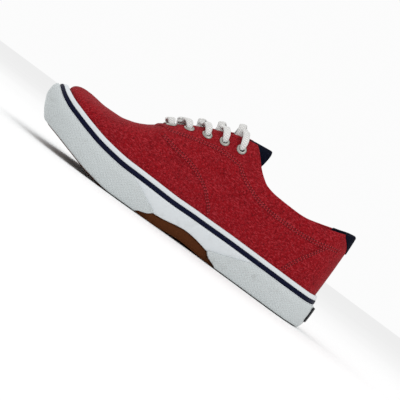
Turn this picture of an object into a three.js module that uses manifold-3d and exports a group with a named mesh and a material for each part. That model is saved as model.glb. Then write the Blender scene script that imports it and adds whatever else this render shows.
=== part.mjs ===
// A low canvas sneaker for the right foot: a gum outsole, a white rubber midsole whose side
// wall holds a navy stripe, textured bumpers at toe and heel, and a hollow canvas upper with
// a collar band, heel counter, tongue, ten eyelets and crossed laces.
//
// Units are millimetres. X runs from the heel to the toe, Y to the wearer's left, which is
// the inner side of this shoe, and Z up from the floor.

import * as THREE from 'three';
import { mergeVertices } from 'three/addons/utils/BufferGeometryUtils.js';
import Module from 'manifold-3d';

const wasm = await Module();
wasm.setup();

// Driving sizes of the sole
const soleLength = 295;
const ballWidth = 107;
const waistWidth = 80;
const heelWidth = 75;
const sideHeight = 31;
const toeSpring = 17;
const archRise = 2;
const outsoleEdge = 9;
const bedHeight = 15;
const sideWall = 3;
const toeTuck = 12;
const heelTuck = 3;
const edgeRound = 1.2;
const outsoleInset = 1.6;

// Driving sizes of what is fixed to the sole's side
const stripeWidth = 3.6;
const stripeDrop = 4.2;
const stripeDepth = 1.4;
const bumperThickness = 2.1;
const bumperLift = 0.7;
const labelWidth = 40;
const labelHeight = 15;
const labelThickness = 1.1;

// Driving sizes of the upper and of what it carries
const upperWall = 2;
const toeBoxHeight = 57;
const instepHeight = 111;
const collarHeight = 81;
const heelHeight = 95;
const overlayThickness = 0.8;
const tabThickness = 1;
const tabHeight = 18;
const tabWidth = 46;
const insoleThickness = 3.5;
const tongueThickness = 2.4;
const tongueWidth = 44;
const throatGap = 19;
const eyeletPairs = 5;
const eyeletDiameter = 9.4;
const eyeletBore = 4.6;
const eyeletInset = 11.5;
const laceWidth = 6.2;
const laceThickness = 2;

// Curved pieces keep this distance to each other.
const clearance = 0.3;

// How finely the curved forms are divided
const stationsPerSide = 28;
const archSteps = 6;
const eyeletSides = 10;
const holeSides = 8;

// Half widths of the sole in plan. The first column is the share of the length from the heel.
const planRows = [
  { at: 0, inner: 0.5 * heelWidth, outer: 0.5 * heelWidth },
  { at: 0.13, inner: 0.5 * heelWidth, outer: 0.5 * heelWidth },
  { at: 0.28, inner: 0.475 * heelWidth, outer: 0.515 * heelWidth },
  { at: 0.42, inner: 0.455 * waistWidth, outer: 0.52 * waistWidth },
  { at: 0.54, inner: 0.405 * ballWidth, outer: 0.455 * ballWidth },
  { at: 0.66, inner: 0.475 * ballWidth, outer: 0.505 * ballWidth },
  { at: 0.75, inner: 0.495 * ballWidth, outer: 0.5 * ballWidth },
  { at: 0.86, inner: 0.495 * ballWidth, outer: 0.455 * ballWidth },
  { at: 1, inner: 0.48 * ballWidth, outer: 0.37 * ballWidth },
];
const heelRound = { reach: 0.13, power: 2.1 };
const toeRound = { reach: 0.22, power: 2.15 };

// Heights along the sole: its underside, the outsole's edge, the side wall and the foot bed.
const sideRows = [
  { at: 0, low: 0, edge: 0.6, wall: 1.07, bed: 1 },
  { at: 0.06, low: 0, edge: 0.65, wall: 1.03, bed: 1 },
  { at: 0.33, low: 0, edge: 0.75, wall: 1.03, bed: 1 },
  { at: 0.46, low: archRise / toeSpring, edge: 1.1, wall: 0.95, bed: 1 },
  { at: 0.56, low: 0, edge: 0.9, wall: 1, bed: 0.98 },
  { at: 0.7, low: 0, edge: 0.75, wall: 1.03, bed: 0.94 },
  { at: 0.79, low: 0.2, edge: 0.7, wall: 1, bed: 0.92 },
  { at: 0.86, low: 0.5, edge: 0.66, wall: 0.98, bed: 0.9 },
  { at: 0.92, low: 0.76, edge: 0.62, wall: 1, bed: 0.88 },
  { at: 0.955, low: 0.88, edge: 0.6, wall: 1.07, bed: 0.87 },
  { at: 1, low: 1, edge: 0.6, wall: 1.3, bed: 0.87 },
];

// How far the side wall draws in at each share of its height: along the sides, at the tip of
// the toe and at the back of the heel.
const leanRows = [
  { at: 0, side: 1, toe: 1, heel: 1 },
  { at: 0.12, side: 0.35, toe: 0.66, heel: 0.36 },
  { at: 0.28, side: 0.05, toe: 0.3, heel: 0.06 },
  { at: 0.5, side: 0, toe: 0.02, heel: 0 },
  { at: 0.66, side: 0.1, toe: 0.03, heel: 0.05 },
  { at: 0.84, side: 0.4, toe: 0.3, heel: 0.2 },
  { at: 1, side: 0.8, toe: 0.68, heel: 0.45 },
];

// The upper's spine in side view, and how full its cross sections are. Behind the throat the
// spine is the line that the closed form would have above the collar.
const spineRows = [
  { at: 0, height: 1.04 * instepHeight, shift: 0, fullness: 2.7 },
  { at: 0.2, height: 1.04 * instepHeight, shift: 0, fullness: 2.5 },
  { at: 0.34, height: 1.035 * instepHeight, shift: 0.01, fullness: 2.1 },
  { at: 0.43, height: 1.01 * instepHeight, shift: 0.02, fullness: 1.75 },
  { at: 0.475, height: 0.98 * instepHeight, shift: 0.025, fullness: 1.65 },
  { at: 0.53, height: 0.9 * instepHeight, shift: 0.03, fullness: 1.72 },
  { at: 0.585, height: 0.82 * instepHeight, shift: 0.03, fullness: 1.85 },
  { at: 0.63, height: 0.745 * instepHeight, shift: 0.03, fullness: 2 },
  { at: 0.67, height: 0.665 * instepHeight, shift: 0.03, fullness: 2.15 },
  { at: 0.7, height: 0.598 * instepHeight, shift: 0.03, fullness: 2.2 },
  { at: 0.74, height: 1.055 * toeBoxHeight, shift: 0.035, fullness: 2.25 },
  { at: 0.79, height: 0.988 * toeBoxHeight, shift: 0.035, fullness: 2.3 },
  { at: 0.85, height: 0.975 * toeBoxHeight, shift: 0.04, fullness: 2.3 },
  { at: 0.91, height: toeBoxHeight, shift: 0.045, fullness: 2.3 },
  { at: 1, height: 0.99 * toeBoxHeight, shift: 0.05, fullness: 2.2 },
];
const spineStart = 0.04;
const spineEnd = 0.915;

// The collar's edge in side view, from the heel to the top corner of the facings.
const collarRows = [
  { at: -0.1, height: heelHeight },
  { at: 0.015, height: heelHeight },
  { at: 0.055, height: 0.965 * heelHeight },
  { at: 0.1, height: 1.08 * collarHeight },
  { at: 0.15, height: 1.033 * collarHeight },
  { at: 0.23, height: collarHeight },
  { at: 0.3, height: 1.006 * collarHeight },
  { at: 0.34, height: 1.03 * collarHeight },
  { at: 0.37, height: 0.8 * instepHeight },
  { at: 0.39, height: 0.85 * instepHeight },
  { at: 0.415, height: 0.93 * instepHeight },
  { at: 0.435, height: 0.985 * instepHeight },
  { at: 0.445, height: 1.06 * instepHeight },
];

// The seam under the collar band and the eyelets, in side view, and its round front in plan.
const bandRows = [
  { at: 0, height: 0.8 * heelHeight },
  { at: 0.09, height: 0.865 * collarHeight },
  { at: 0.15, height: 0.817 * collarHeight },
  { at: 0.26, height: 0.795 * collarHeight },
  { at: 0.34, height: 0.82 * collarHeight },
  { at: 0.38, height: 0.87 * collarHeight },
  { at: 0.415, height: 0.925 * collarHeight },
  { at: 0.45, height: 0.732 * instepHeight },
  { at: 0.5, height: 0.733 * instepHeight },
  { at: 0.6, height: 0.68 * instepHeight },
  { at: 0.66, height: 0.63 * instepHeight },
  { at: 0.7, height: 0.585 * instepHeight },
];

const bandFront = { at: 0.703, reach: 0.055, power: 2.4 };
const bandFrontWidth = 60;

// The heel counter's front edge, from the collar band down to the side wall.
const counterRows = [
  { at: 0.1, height: 0.9 * collarHeight },
  { at: 0.127, height: 0.748 * collarHeight },
  { at: 0.153, height: 0.6 * collarHeight },
  { at: 0.178, height: 1.02 * sideHeight },
  { at: 0.19, height: 0.6 * sideHeight },
];

// The free ends of the bumpers in side view, from under the stripe over the tip to the floor.
const toeBumperRows = [
  { at: 0.69, height: 1 },
  { at: 0.673, height: 0.74 },
  { at: 0.631, height: 0.57 },
  { at: 0.607, height: 0.445 },
  { at: 0.573, height: 0.29 },
  { at: 0.585, height: 0.17 },
  { at: 0.615, height: 0.07 },
  { at: 0.63, height: -0.2 },
];
const heelBumperRows = [
  { at: 0.235, height: 1 },
  { at: 0.255, height: 0.74 },
  { at: 0.3, height: 0.57 },
  { at: 0.34, height: 0.43 },
  { at: 0.378, height: 0.29 },
  { at: 0.365, height: 0.16 },
  { at: 0.335, height: 0.05 },
  { at: 0.32, height: -0.2 },
];

// Where each pair of eyelets sits along the shoe, from the toe end to the top.
const eyeletRows = [0.668, 0.622, 0.57, 0.518, 0.464];

const throatFront = 0.69;
const throatRear = 0.4;
const tongueTop = 0.378;
const tongueFoot = 0.73;

// Finishes
const finish = (color, roughness, metalness = 0) =>
  new THREE.MeshStandardMaterial({ color, roughness, metalness });
const gumRubber = finish(0x6b3a14, 0.7);
const whiteRubber = finish(0xe4e5e6, 0.6);
const navyRubber = finish(0x141a33, 0.55);
const blackRubber = finish(0x17181b, 0.5);
const redCanvas = finish(0x9b2430, 0.95);
const navyCanvas = finish(0x10152a, 0.9);
const liningCloth = finish(0xc9b79b, 0.95);
const nickelPlate = finish(0xb9bcc0, 0.3, 1);
const laceCotton = finish(0xe7e5df, 0.9);

// A smooth curve through one column of a table, which never overshoots its rows.
function track(rows, column) {
  const last = rows.length - 1;
  const rises = rows
    .slice(1)
    .map((row, i) => (row[column] - rows[i][column]) / (row.at - rows[i].at));
  const slopes = rows.map((row, i) => {
    const before = rises[Math.max(i - 1, 0)];
    const after = rises[Math.min(i, last - 1)];
    return before * after > 0 ? (2 * before * after) / (before + after) : 0;
  });
  return (at) => {
    if (at <= rows[0].at) return rows[0][column];
    if (at >= rows[last].at) return rows[last][column];
    const next = rows.findIndex((row) => row.at > at);
    const i = next - 1;
    const span = rows[next].at - rows[i].at;
    const t = (at - rows[i].at) / span;
    const blend = t * t * (3 - 2 * t);
    const bend = t * (1 - t) * span * ((1 - t) * slopes[i] - t * slopes[next]);
    return THREE.MathUtils.lerp(rows[i][column], rows[next][column], blend) + bend;
  };
}

// Half of a superellipse: 0 at the tip, 1 from the reach on.
function rounded(distance, { reach, power }) {
  const t = Math.min(distance / reach, 1);
  return (1 - (1 - t) ** power) ** (1 / power);
}

const innerWidth = track(planRows, 'inner');
const outerWidth = track(planRows, 'outer');
const lowShare = track(sideRows, 'low');
const edgeShare = track(sideRows, 'edge');
const wallShare = track(sideRows, 'wall');
const bedShare = track(sideRows, 'bed');
const sideLean = track(leanRows, 'side');
const toeLean = track(leanRows, 'toe');
const heelLean = track(leanRows, 'heel');
const spineHeight = track(spineRows, 'height');
const spineShift = track(spineRows, 'shift');
const spineFullness = track(spineRows, 'fullness');

// Heights of the sole at a share of its length
const undersideAt = (u) => toeSpring * lowShare(u);
const outsoleTopAt = (u) => undersideAt(u) + outsoleEdge * edgeShare(u);
const sideTopAt = (u) => undersideAt(u) + sideHeight * wallShare(u);
const bedAt = (u) => undersideAt(u) + bedHeight * bedShare(u);

// The stations run once round the sole, from the heel along the inner side to the toe and back.
const stationCount = 2 * stationsPerSide;
const stations = Array.from({ length: stationCount }, (_, i) => (Math.PI * i) / stationsPerSide);

// The outline of the side wall in plan, at an angle of the round.
function outline(angle) {
  const u = (1 - Math.cos(angle)) / 2;
  const side = Math.sin(angle) >= 0 ? 1 : -1;
  const half = (innerWidth(u) + outerWidth(u)) / 2;
  const axis = (innerWidth(u) - outerWidth(u)) / 2;
  const end = rounded(u, heelRound) * rounded(1 - u, toeRound);
  return new THREE.Vector2(soleLength * u, axis + side * half * end);
}

// A place on the outline with its outward direction.
function rim(angle) {
  const step = Math.PI / (4 * stationsPerSide);
  const run = outline(angle + step).sub(outline(angle - step)).normalize();
  return {
    u: (1 - Math.cos(angle)) / 2,
    spot: outline(angle),
    out: new THREE.Vector2(-run.y, run.x),
  };
}

// How far the side wall draws in at a share of its height.
function lean(place, t) {
  const toe = Math.max(place.out.x, 0) ** 2;
  const heel = Math.max(-place.out.x, 0) ** 2;
  const side = 1 - toe - heel;
  return side * edgeRound * sideLean(t) + toe * toeTuck * toeLean(t) + heel * heelTuck * heelLean(t);
}

// A ring round the sole: height and distance out from the wall at each station. The height is
// that of the place where the ring really is, so level lines stay level in side view.
function ring(heightAt, out) {
  return stations.map((angle) => {
    const place = rim(angle);
    let spot = place.spot;
    for (let pass = 0; pass < 3; pass += 1) {
      const u = spot.x / soleLength;
      const t = (heightAt(u) - undersideAt(u)) / (sideTopAt(u) - undersideAt(u));
      spot = place.spot.clone().addScaledVector(place.out, out - lean(place, t));
    }
    return new THREE.Vector3(spot.x, spot.y, heightAt(spot.x / soleLength));
  });
}

// A ring that keeps the plan of the side wall's top edge at any height.
function uprightSpot(place, inset) {
  return place.spot.clone().addScaledVector(place.out, -inset - lean(place, 1));
}

function uprightRing(heightAt, inset) {
  return stations.map((angle) => {
    const spot = uprightSpot(rim(angle), inset);
    return new THREE.Vector3(spot.x, spot.y, heightAt(spot.x / soleLength));
  });
}

// A closed mesh through rings. The rings close on the first one, or both ends get a cap.
function skin(rings, closedRound) {
  const points = rings.flat();
  const faces = [];
  const quad = (a, b, c, d) => faces.push([a, c, b], [a, d, c]);
  const steps = closedRound ? rings.length : rings.length - 1;
  for (let r = 0; r < steps; r += 1) {
    const here = r * stationCount;
    const above = ((r + 1) % rings.length) * stationCount;
    for (let j = 0; j < stationCount; j += 1) {
      const k = (j + 1) % stationCount;
      quad(here + j, here + k, above + k, above + j);
    }
  }
  const cap = (start, flip) => {
    const face = (a, b, c) => faces.push(flip ? [a, c, b] : [a, b, c]);
    for (let j = 0; j < stationsPerSide; j += 1) {
      const back = start + ((stationCount - j) % stationCount);
      const ahead = start + stationCount - j - 1;
      if (j > 0) face(start + j, start + j + 1, back);
      if (j < stationsPerSide - 1) face(start + j + 1, ahead, back);
    }
  };
  if (!closedRound) {
    cap(0, false);
    cap((rings.length - 1) * stationCount, true);
  }
  return meshOf(points, faces);
}

function meshOf(points, faces) {
  const geometry = new THREE.BufferGeometry();
  geometry.setAttribute(
    'position',
    new THREE.Float32BufferAttribute(points.flatMap((p) => [p.x, p.y, p.z]), 3),
  );
  geometry.setIndex(faces.flat());
  return geometry;
}

function toSolid(geometry) {
  const bare = geometry.clone();
  bare.deleteAttribute('normal');
  bare.deleteAttribute('uv');
  const merged = mergeVertices(bare, 1e-4);
  return new wasm.Manifold(
    new wasm.Mesh({
      numProp: 3,
      vertProperties: new Float32Array(merged.attributes.position.array),
      triVerts: new Uint32Array(merged.index.array),
    }),
  );
}

function toGeometry(solid) {
  const mesh = solid.getMesh();
  const geometry = new THREE.BufferGeometry();
  geometry.setAttribute('position', new THREE.BufferAttribute(mesh.vertProperties, 3));
  geometry.setIndex(new THREE.BufferAttribute(mesh.triVerts, 1));
  geometry.computeVertexNormals();
  return geometry;
}

// Prisms through the whole shoe: a side view swept across it, a plan swept up it, and a rear
// view swept along the heel.
const acrossReach = 2 * ballWidth;
const upReach = 2 * instepHeight;

function prism(points, depth) {
  const shape = new THREE.Shape(points.map(([x, y]) => new THREE.Vector2(x, y)));
  return new THREE.ExtrudeGeometry(shape, { depth, bevelEnabled: false });
}

function sidePrism(points) {
  const body = prism(points, acrossReach);
  body.rotateX(Math.PI / 2);
  body.translate(0, acrossReach / 2, 0);
  return toSolid(body);
}

function planPrism(points) {
  return toSolid(prism(points, upReach));
}

function rearPrism(points, depth) {
  const body = prism(points, depth);
  body.rotateX(Math.PI / 2);
  body.rotateZ(Math.PI / 2);
  body.translate(-depth / 2, 0, 0);
  return toSolid(body);
}

// A side view line through a table of heights, divided into short straight runs.
function sideLine(rows, from, to, steps) {
  const heightAt = track(rows, 'height');
  return Array.from({ length: steps + 1 }, (_, i) => {
    const u = THREE.MathUtils.lerp(from, to, i / steps);
    return [soleLength * u, heightAt(u)];
  });
}

// The upper's own form

// Where the upper's outside stands in the side wall
const featherInset = sideWall + clearance;

function spineSpot(u) {
  const along = THREE.MathUtils.lerp(spineStart, spineEnd, u);
  return new THREE.Vector3(
    soleLength * along,
    ballWidth * spineShift(along),
    Math.max(spineHeight(along), sideTopAt(along) + sideWall / 2),
  );
}

// A point of the upper's outside, from the side wall's top edge (share 0) to the spine (share 1).
function archPoint(angle, share) {
  const place = rim(angle);
  const spine = spineSpot(place.u);
  const foot = uprightSpot(place, featherInset);
  const fullness = spineFullness(spine.x / soleLength);
  const turn = (share * Math.PI) / 2;
  const across = share === 1 ? 0 : Math.cos(turn) ** (2 / fullness);
  const up = Math.sin(turn) ** (2 / fullness);
  const base = sideTopAt(foot.x / soleLength);
  return new THREE.Vector3(
    THREE.MathUtils.lerp(spine.x, foot.x, across),
    THREE.MathUtils.lerp(spine.y, foot.y, across),
    THREE.MathUtils.lerp(base, spine.z, up),
  );
}

// The closed form of the upper, moved out by a distance, with its foot below the foot bed.
function lastForm(distance) {
  const sink = bedHeight / 2;
  const levels = Array.from({ length: archSteps }, (_, i) => i / archSteps);
  const rings = [
    uprightRing((u) => bedAt(u) - sink, featherInset),
    ...levels.map((share) => stations.map((angle) => archPoint(angle, share))),
  ];
  const points = rings.flat();
  const faces = [];
  const quad = (a, b, c, d) => faces.push([a, c, b], [a, d, c]);
  for (let r = 0; r < rings.length - 1; r += 1) {
    for (let j = 0; j < stationCount; j += 1) {
      const k = (j + 1) % stationCount;
      const here = r * stationCount;
      const above = here + stationCount;
      quad(here + j, here + k, above + k, above + j);
    }
  }
  const spineFirst = points.length;
  for (let i = 0; i <= stationsPerSide; i += 1) points.push(archPoint(stations[i], 1));
  const top = (rings.length - 1) * stationCount;
  for (let j = 0; j < stationsPerSide; j += 1) {
    const near = top + j;
    const far = top + ((stationCount - j) % stationCount);
    quad(near, near + 1, spineFirst + j + 1, spineFirst + j);
    quad(far === top ? top + stationCount - j - 1 : far - 1, far, spineFirst + j, spineFirst + j + 1);
  }
  for (let j = 0; j < stationsPerSide; j += 1) {
    const back = (stationCount - j) % stationCount;
    const ahead = stationCount - j - 1;
    if (j > 0) faces.push([j, j + 1, back]);
    if (j < stationsPerSide - 1) faces.push([j + 1, ahead, back]);
  }
  const form = mergeVertices(meshOf(points, faces), 1e-4);
  form.computeVertexNormals();
  const { position, normal } = form.attributes;
  const moved = new THREE.Vector3();
  for (let i = 0; i < position.count; i += 1) {
    moved.fromBufferAttribute(normal, i).multiplyScalar(distance);
    position.setXYZ(i, position.getX(i) + moved.x, position.getY(i) + moved.y, position.getZ(i) + moved.z);
  }
  return toSolid(form);
}

// The point of the upper's outside above a place in plan
function roofSpot(x, y) {
  let u = x / soleLength;
  let spot = null;
  for (let pass = 0; pass < 10; pass += 1) {
    const spine = spineSpot(u);
    const side = y >= spine.y ? 1 : -1;
    const place = rim(side * Math.acos(1 - 2 * u));
    const foot = uprightSpot(place, featherInset);
    const fullness = spineFullness(spine.x / soleLength);
    const across = Math.min((y - spine.y) / (foot.y - spine.y), 1);
    const up = (1 - across ** fullness) ** (1 / fullness);
    spot = new THREE.Vector3(
      THREE.MathUtils.lerp(spine.x, foot.x, across),
      y,
      THREE.MathUtils.lerp(sideTopAt(foot.x / soleLength), spine.z, up),
    );
    u += (x - spot.x) / soleLength;
  }
  return spot;
}

// The same point with the outward direction of the surface there
function roofPlace(x, y) {
  const step = 0.5;
  const alongX = roofSpot(x + step, y).sub(roofSpot(x - step, y));
  const alongY = roofSpot(x, y + step).sub(roofSpot(x, y - step));
  return { spot: roofSpot(x, y), normal: alongX.cross(alongY).normalize() };
}

function lifted(x, y, distance) {
  const { spot, normal } = roofPlace(x, y);
  return { spot: spot.addScaledVector(normal, distance), normal };
}

// Sole pieces

const stripeTopAt = (u) => sideTopAt(u) - stripeDrop;
const stripeLowAt = (u) => stripeTopAt(u) - stripeWidth;
const midsoleLowAt = (u) => outsoleTopAt(u) + clearance;
const bumperLowAt = (u) => undersideAt(u) + bumperLift;
const bumperTopAt = (u) => stripeLowAt(u) - 3 * clearance;

// Side wall and bumpers bend at the same heights, so they keep their distance.
const wallLevels = [0, 0.25, 0.6].map(
  (share) => (u) => THREE.MathUtils.lerp(midsoleLowAt(u), bumperTopAt(u), share),
);

function makeOutsole() {
  const middleAt = (u) => THREE.MathUtils.lerp(undersideAt(u), outsoleTopAt(u), 0.35);
  return skin(
    [
      ring(undersideAt, -outsoleInset),
      ring(middleAt, -outsoleInset),
      ring(outsoleTopAt, -outsoleInset),
    ],
    false,
  );
}

function makeMidsole() {
  const grooveLowAt = (u) => stripeLowAt(u) - clearance;
  const grooveTopAt = (u) => stripeTopAt(u) + clearance;
  const shoulderAt = (u) => sideTopAt(u) - edgeRound / 2;
  const grooveDepth = stripeDepth + clearance;
  return skin(
    [
      ...wallLevels.map((heightAt) => ring(heightAt, 0)),
      ring(grooveLowAt, 0),
      ring(grooveLowAt, -grooveDepth),
      ring(grooveTopAt, -grooveDepth),
      ring(grooveTopAt, 0),
      ring(shoulderAt, 0),
      ring(sideTopAt, -edgeRound / 2),
      uprightRing(sideTopAt, sideWall),
      uprightRing(bedAt, sideWall),
    ],
    false,
  );
}

function makeStripe() {
  const proud = stripeDepth / 6;
  return skin(
    [
      ring(stripeLowAt, proud),
      ring(stripeTopAt, proud),
      ring(stripeTopAt, -stripeDepth),
      ring(stripeLowAt, -stripeDepth),
    ],
    true,
  );
}

// A band round the sole's side, from one distance out from the wall to another at each level.
function sideBand(levels, innerOut, outerOuts) {
  const outer = levels.map((heightAt, i) => ring(heightAt, outerOuts[i]));
  const inner = levels.map((heightAt) => ring(heightAt, innerOut));
  return toSolid(skin([...outer, ...inner.toReversed()], true));
}

// The side of a table's line that lies toward the toe or the heel
function endRegion(rows, farEnd) {
  const line = rows.map(({ at, height }) => [soleLength * at, sideHeight * height]);
  const [topX] = line[0];
  const bottom = line[line.length - 1][1];
  return sidePrism([...line, [farEnd, bottom], [farEnd, acrossReach], [topX, acrossReach]]);
}

function makeBumper(rows, farEnd) {
  const outer = clearance + bumperThickness;
  const thinTop = clearance + 0.55 * bumperThickness;
  const band = sideBand([bumperLowAt, ...wallLevels, bumperTopAt], clearance, [
    outer, outer, outer, outer, thinTop,
  ]);
  return toGeometry(band.intersect(endRegion(rows, farEnd)));
}

function makeHeelLabel() {
  const inner = 2 * clearance + bumperThickness;
  const corner = labelHeight / 6;
  const top = bumperTopAt(0) - corner / 2;
  const low = top - labelHeight;
  const half = labelWidth / 2;
  const levels = [() => low - corner, ...wallLevels, () => top + corner];
  const band = sideBand(levels, inner, levels.map(() => inner + labelThickness));
  const plate = rearPrism(
    [
      [-half + corner, low],
      [half - corner, low],
      [half, low + corner],
      [half, top - corner],
      [half - corner, top],
      [-half + corner, top],
      [-half, top - corner],
      [-half, low + corner],
    ],
    heelWidth,
  );
  return toGeometry(band.intersect(plate));
}

function makeInsole() {
  const inset = featherInset + upperWall + clearance;
  const lowAt = (u) => bedAt(u) + clearance;
  const shoulderAt = (u) => lowAt(u) + 0.7 * insoleThickness;
  const topAt = (u) => lowAt(u) + insoleThickness;
  return skin(
    [uprightRing(lowAt, inset), uprightRing(shoulderAt, inset), uprightRing(topAt, inset + edgeRound)],
    false,
  );
}

// Cutters that the upper shares with its overlays

const lineSteps = 26;
const farAhead = 1.2 * soleLength;
const farBehind = -0.2 * soleLength;

// Everything above a side view line
function aboveLine(line) {
  const [first] = line;
  const last = line[line.length - 1];
  return sidePrism([...line, [last[0], upReach], [first[0], upReach]]);
}

function bedLine() {
  const shares = Array.from({ length: lineSteps + 1 }, (_, i) => i / lineSteps);
  const line = shares.map((u) => [soleLength * u, bedAt(u) + clearance]);
  return [[farBehind, line[0][1]], ...line, [farAhead, line[lineSteps][1]]];
}

function sideTopLine(gap) {
  const shares = Array.from({ length: lineSteps + 1 }, (_, i) => i / lineSteps);
  const line = shares.map((u) => [soleLength * u, sideTopAt(u) + gap]);
  return [[farBehind, line[0][1]], ...line, [farAhead, line[lineSteps][1]]];
}

const throatAxisAt = (u) => ballWidth * spineShift(u);

// Half of the gap between the facings, round at its front end
function throatHalfAt(u) {
  const open = (throatFront - u) / (throatFront - throatRear);
  const end = rounded(Math.max(throatFront - u, 0), { reach: 0.014, power: 2 });
  return (throatGap / 2) * THREE.MathUtils.lerp(0.42, 1, open) * end;
}

function planOutline(halfAt, from, to, steps) {
  const shares = Array.from({ length: steps + 1 }, (_, i) => {
    const turn = (Math.PI * i) / steps;
    return THREE.MathUtils.lerp(from, to, (1 - Math.cos(turn)) / 2);
  });
  const edge = (side) => (u) => [soleLength * u, throatAxisAt(u) + side * halfAt(u)];
  const far = shares.slice(1, -1).toReversed();
  return [...shares.map(edge(1)), ...far.map(edge(-1))];
}

const collarCutter = aboveLine(sideLine(collarRows, -0.1, 0.445, lineSteps));
const throatCutter = planPrism(planOutline(throatHalfAt, throatRear - 0.03, throatFront, 16));

// A skin between two distances from the upper's outside
function layer(innerDistance, outerDistance) {
  return lastForm(outerDistance).subtract(lastForm(innerDistance));
}

// Eyelets

const overlayTop = clearance + overlayThickness;
const barrelRadius = eyeletBore / 2 + 0.6;
const flangeRise = 1.1;

// The place of an eyelet: down the facing from the throat's edge by the eyelet's inset
function eyeletPlace(at, side) {
  const x = soleLength * at;
  const step = 0.25;
  let y = throatAxisAt(at) + side * throatHalfAt(at);
  let spot = roofSpot(x, y);
  let walked = 0;
  while (walked < eyeletInset) {
    y += side * step;
    const next = roofSpot(x, y);
    walked += next.distanceTo(spot);
    spot = next;
  }
  return { y, ...roofPlace(x, y) };
}

const sides = [
  { name: 'inner', sign: 1 },
  { name: 'outer', sign: -1 },
];
const eyelets = eyeletRows.slice(0, eyeletPairs).flatMap((at, i) =>
  sides.map(({ name, sign }) => ({ at, name: `eyelet_${name}_${i + 1}`, sign, ...eyeletPlace(at, sign) })),
);

function aimAt(object, { spot, normal }) {
  object.quaternion.setFromUnitVectors(new THREE.Vector3(0, 0, 1), normal);
  object.position.copy(spot);
  object.updateMatrix();
}

function eyeletHole(eyelet) {
  const reach = 6 * upperWall;
  const pin = new THREE.CylinderGeometry(
    barrelRadius + 2 * clearance,
    barrelRadius + 2 * clearance,
    reach,
    holeSides,
  );
  pin.rotateX(Math.PI / 2);
  const frame = new THREE.Object3D();
  aimAt(frame, eyelet);
  return toSolid(pin.applyMatrix4(frame.matrix));
}

function makeEyelet() {
  const bore = eyeletBore / 2;
  const rimRadius = eyeletDiameter / 2;
  const seat = overlayTop + clearance;
  const profile = [
    [bore, clearance - upperWall],
    [barrelRadius, clearance - upperWall],
    [barrelRadius, seat],
    [rimRadius, seat],
    [0.6 * rimRadius + 0.4 * bore, seat + flangeRise],
    [bore, seat + 0.6 * flangeRise],
    [bore, clearance - upperWall],
  ];
  const ringBody = new THREE.LatheGeometry(
    profile.map(([radius, height]) => new THREE.Vector2(radius, height)),
    eyeletSides,
  );
  return ringBody.rotateX(Math.PI / 2);
}

// Upper pieces

const eyeletHoles = wasm.Manifold.union(eyelets.map(eyeletHole));

function makeUpper() {
  return toGeometry(
    lastForm(0)
      .subtract(lastForm(-upperWall))
      .intersect(aboveLine(bedLine()))
      .subtract(collarCutter)
      .subtract(throatCutter)
      .subtract(eyeletHoles),
  );
}

function tabOutline(grow) {
  const top = heelHeight + tabHeight;
  const low = heelHeight - tabHeight - grow;
  const half = tabWidth / 2 + grow;
  return [
    [-0.45 * half, low],
    [0.45 * half, low],
    [0.83 * half, low + 0.6 * tabHeight],
    [half, top - tabHeight],
    [half, top],
    [-half, top],
    [-half, top - tabHeight],
    [-0.83 * half, low + 0.6 * tabHeight],
  ];
}

function bandRegion(drop) {
  const line = sideLine(bandRows, 0, 0.7, lineSteps).map(([x, z]) => [x, z - drop]);
  const frontHalfAt = (u) => {
    if (u < bandFront.at - bandFront.reach) return ballWidth;
    return (bandFrontWidth / 2) * rounded(Math.max(bandFront.at - u, 0), bandFront);
  };
  const front = planPrism(planOutline(frontHalfAt, -0.2, bandFront.at, 40));
  return aboveLine([[farBehind, line[0][1]], ...line]).intersect(front);
}

function makeCollarBand() {
  return toGeometry(
    layer(clearance, overlayTop)
      .intersect(bandRegion(0))
      .subtract(collarCutter)
      .subtract(throatCutter)
      .subtract(eyeletHoles)
      .subtract(rearPrism(tabOutline(clearance), heelWidth)),
  );
}

function makeHeelCounter() {
  const line = counterRows.map(({ at, height }) => [soleLength * at, height]);
  const [[topX], ...others] = line;
  const bottom = others[others.length - 1][1];
  const behind = sidePrism([...line, [farBehind, bottom], [farBehind, upReach], [topX, upReach]]);
  return toGeometry(
    layer(clearance, overlayTop)
      .intersect(behind)
      .intersect(aboveLine(sideTopLine(clearance)))
      .subtract(bandRegion(clearance))
      .subtract(rearPrism(tabOutline(clearance), heelWidth)),
  );
}

function makeHeelTab() {
  return toGeometry(
    layer(clearance, clearance + tabThickness)
      .intersect(rearPrism(tabOutline(0), heelWidth))
      .subtract(collarCutter),
  );
}

function makeTongue() {
  const outer = -upperWall - clearance;
  const halfAt = (u) => {
    const end = rounded(Math.max(u - tongueTop, 0), { reach: 0.03, power: 2.6 });
    const foot = rounded(Math.max(tongueFoot - u, 0), { reach: 0.03, power: 2.6 });
    const taper = THREE.MathUtils.lerp(1, 0.75, (u - tongueTop) / (tongueFoot - tongueTop));
    return (tongueWidth / 2) * taper * Math.min(end, foot);
  };
  return toGeometry(
    layer(outer - tongueThickness, outer)
      .intersect(planPrism(planOutline(halfAt, tongueTop, tongueFoot, 20)))
      .intersect(aboveLine(sideTopLine(0))),
  );
}

// Laces

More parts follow.
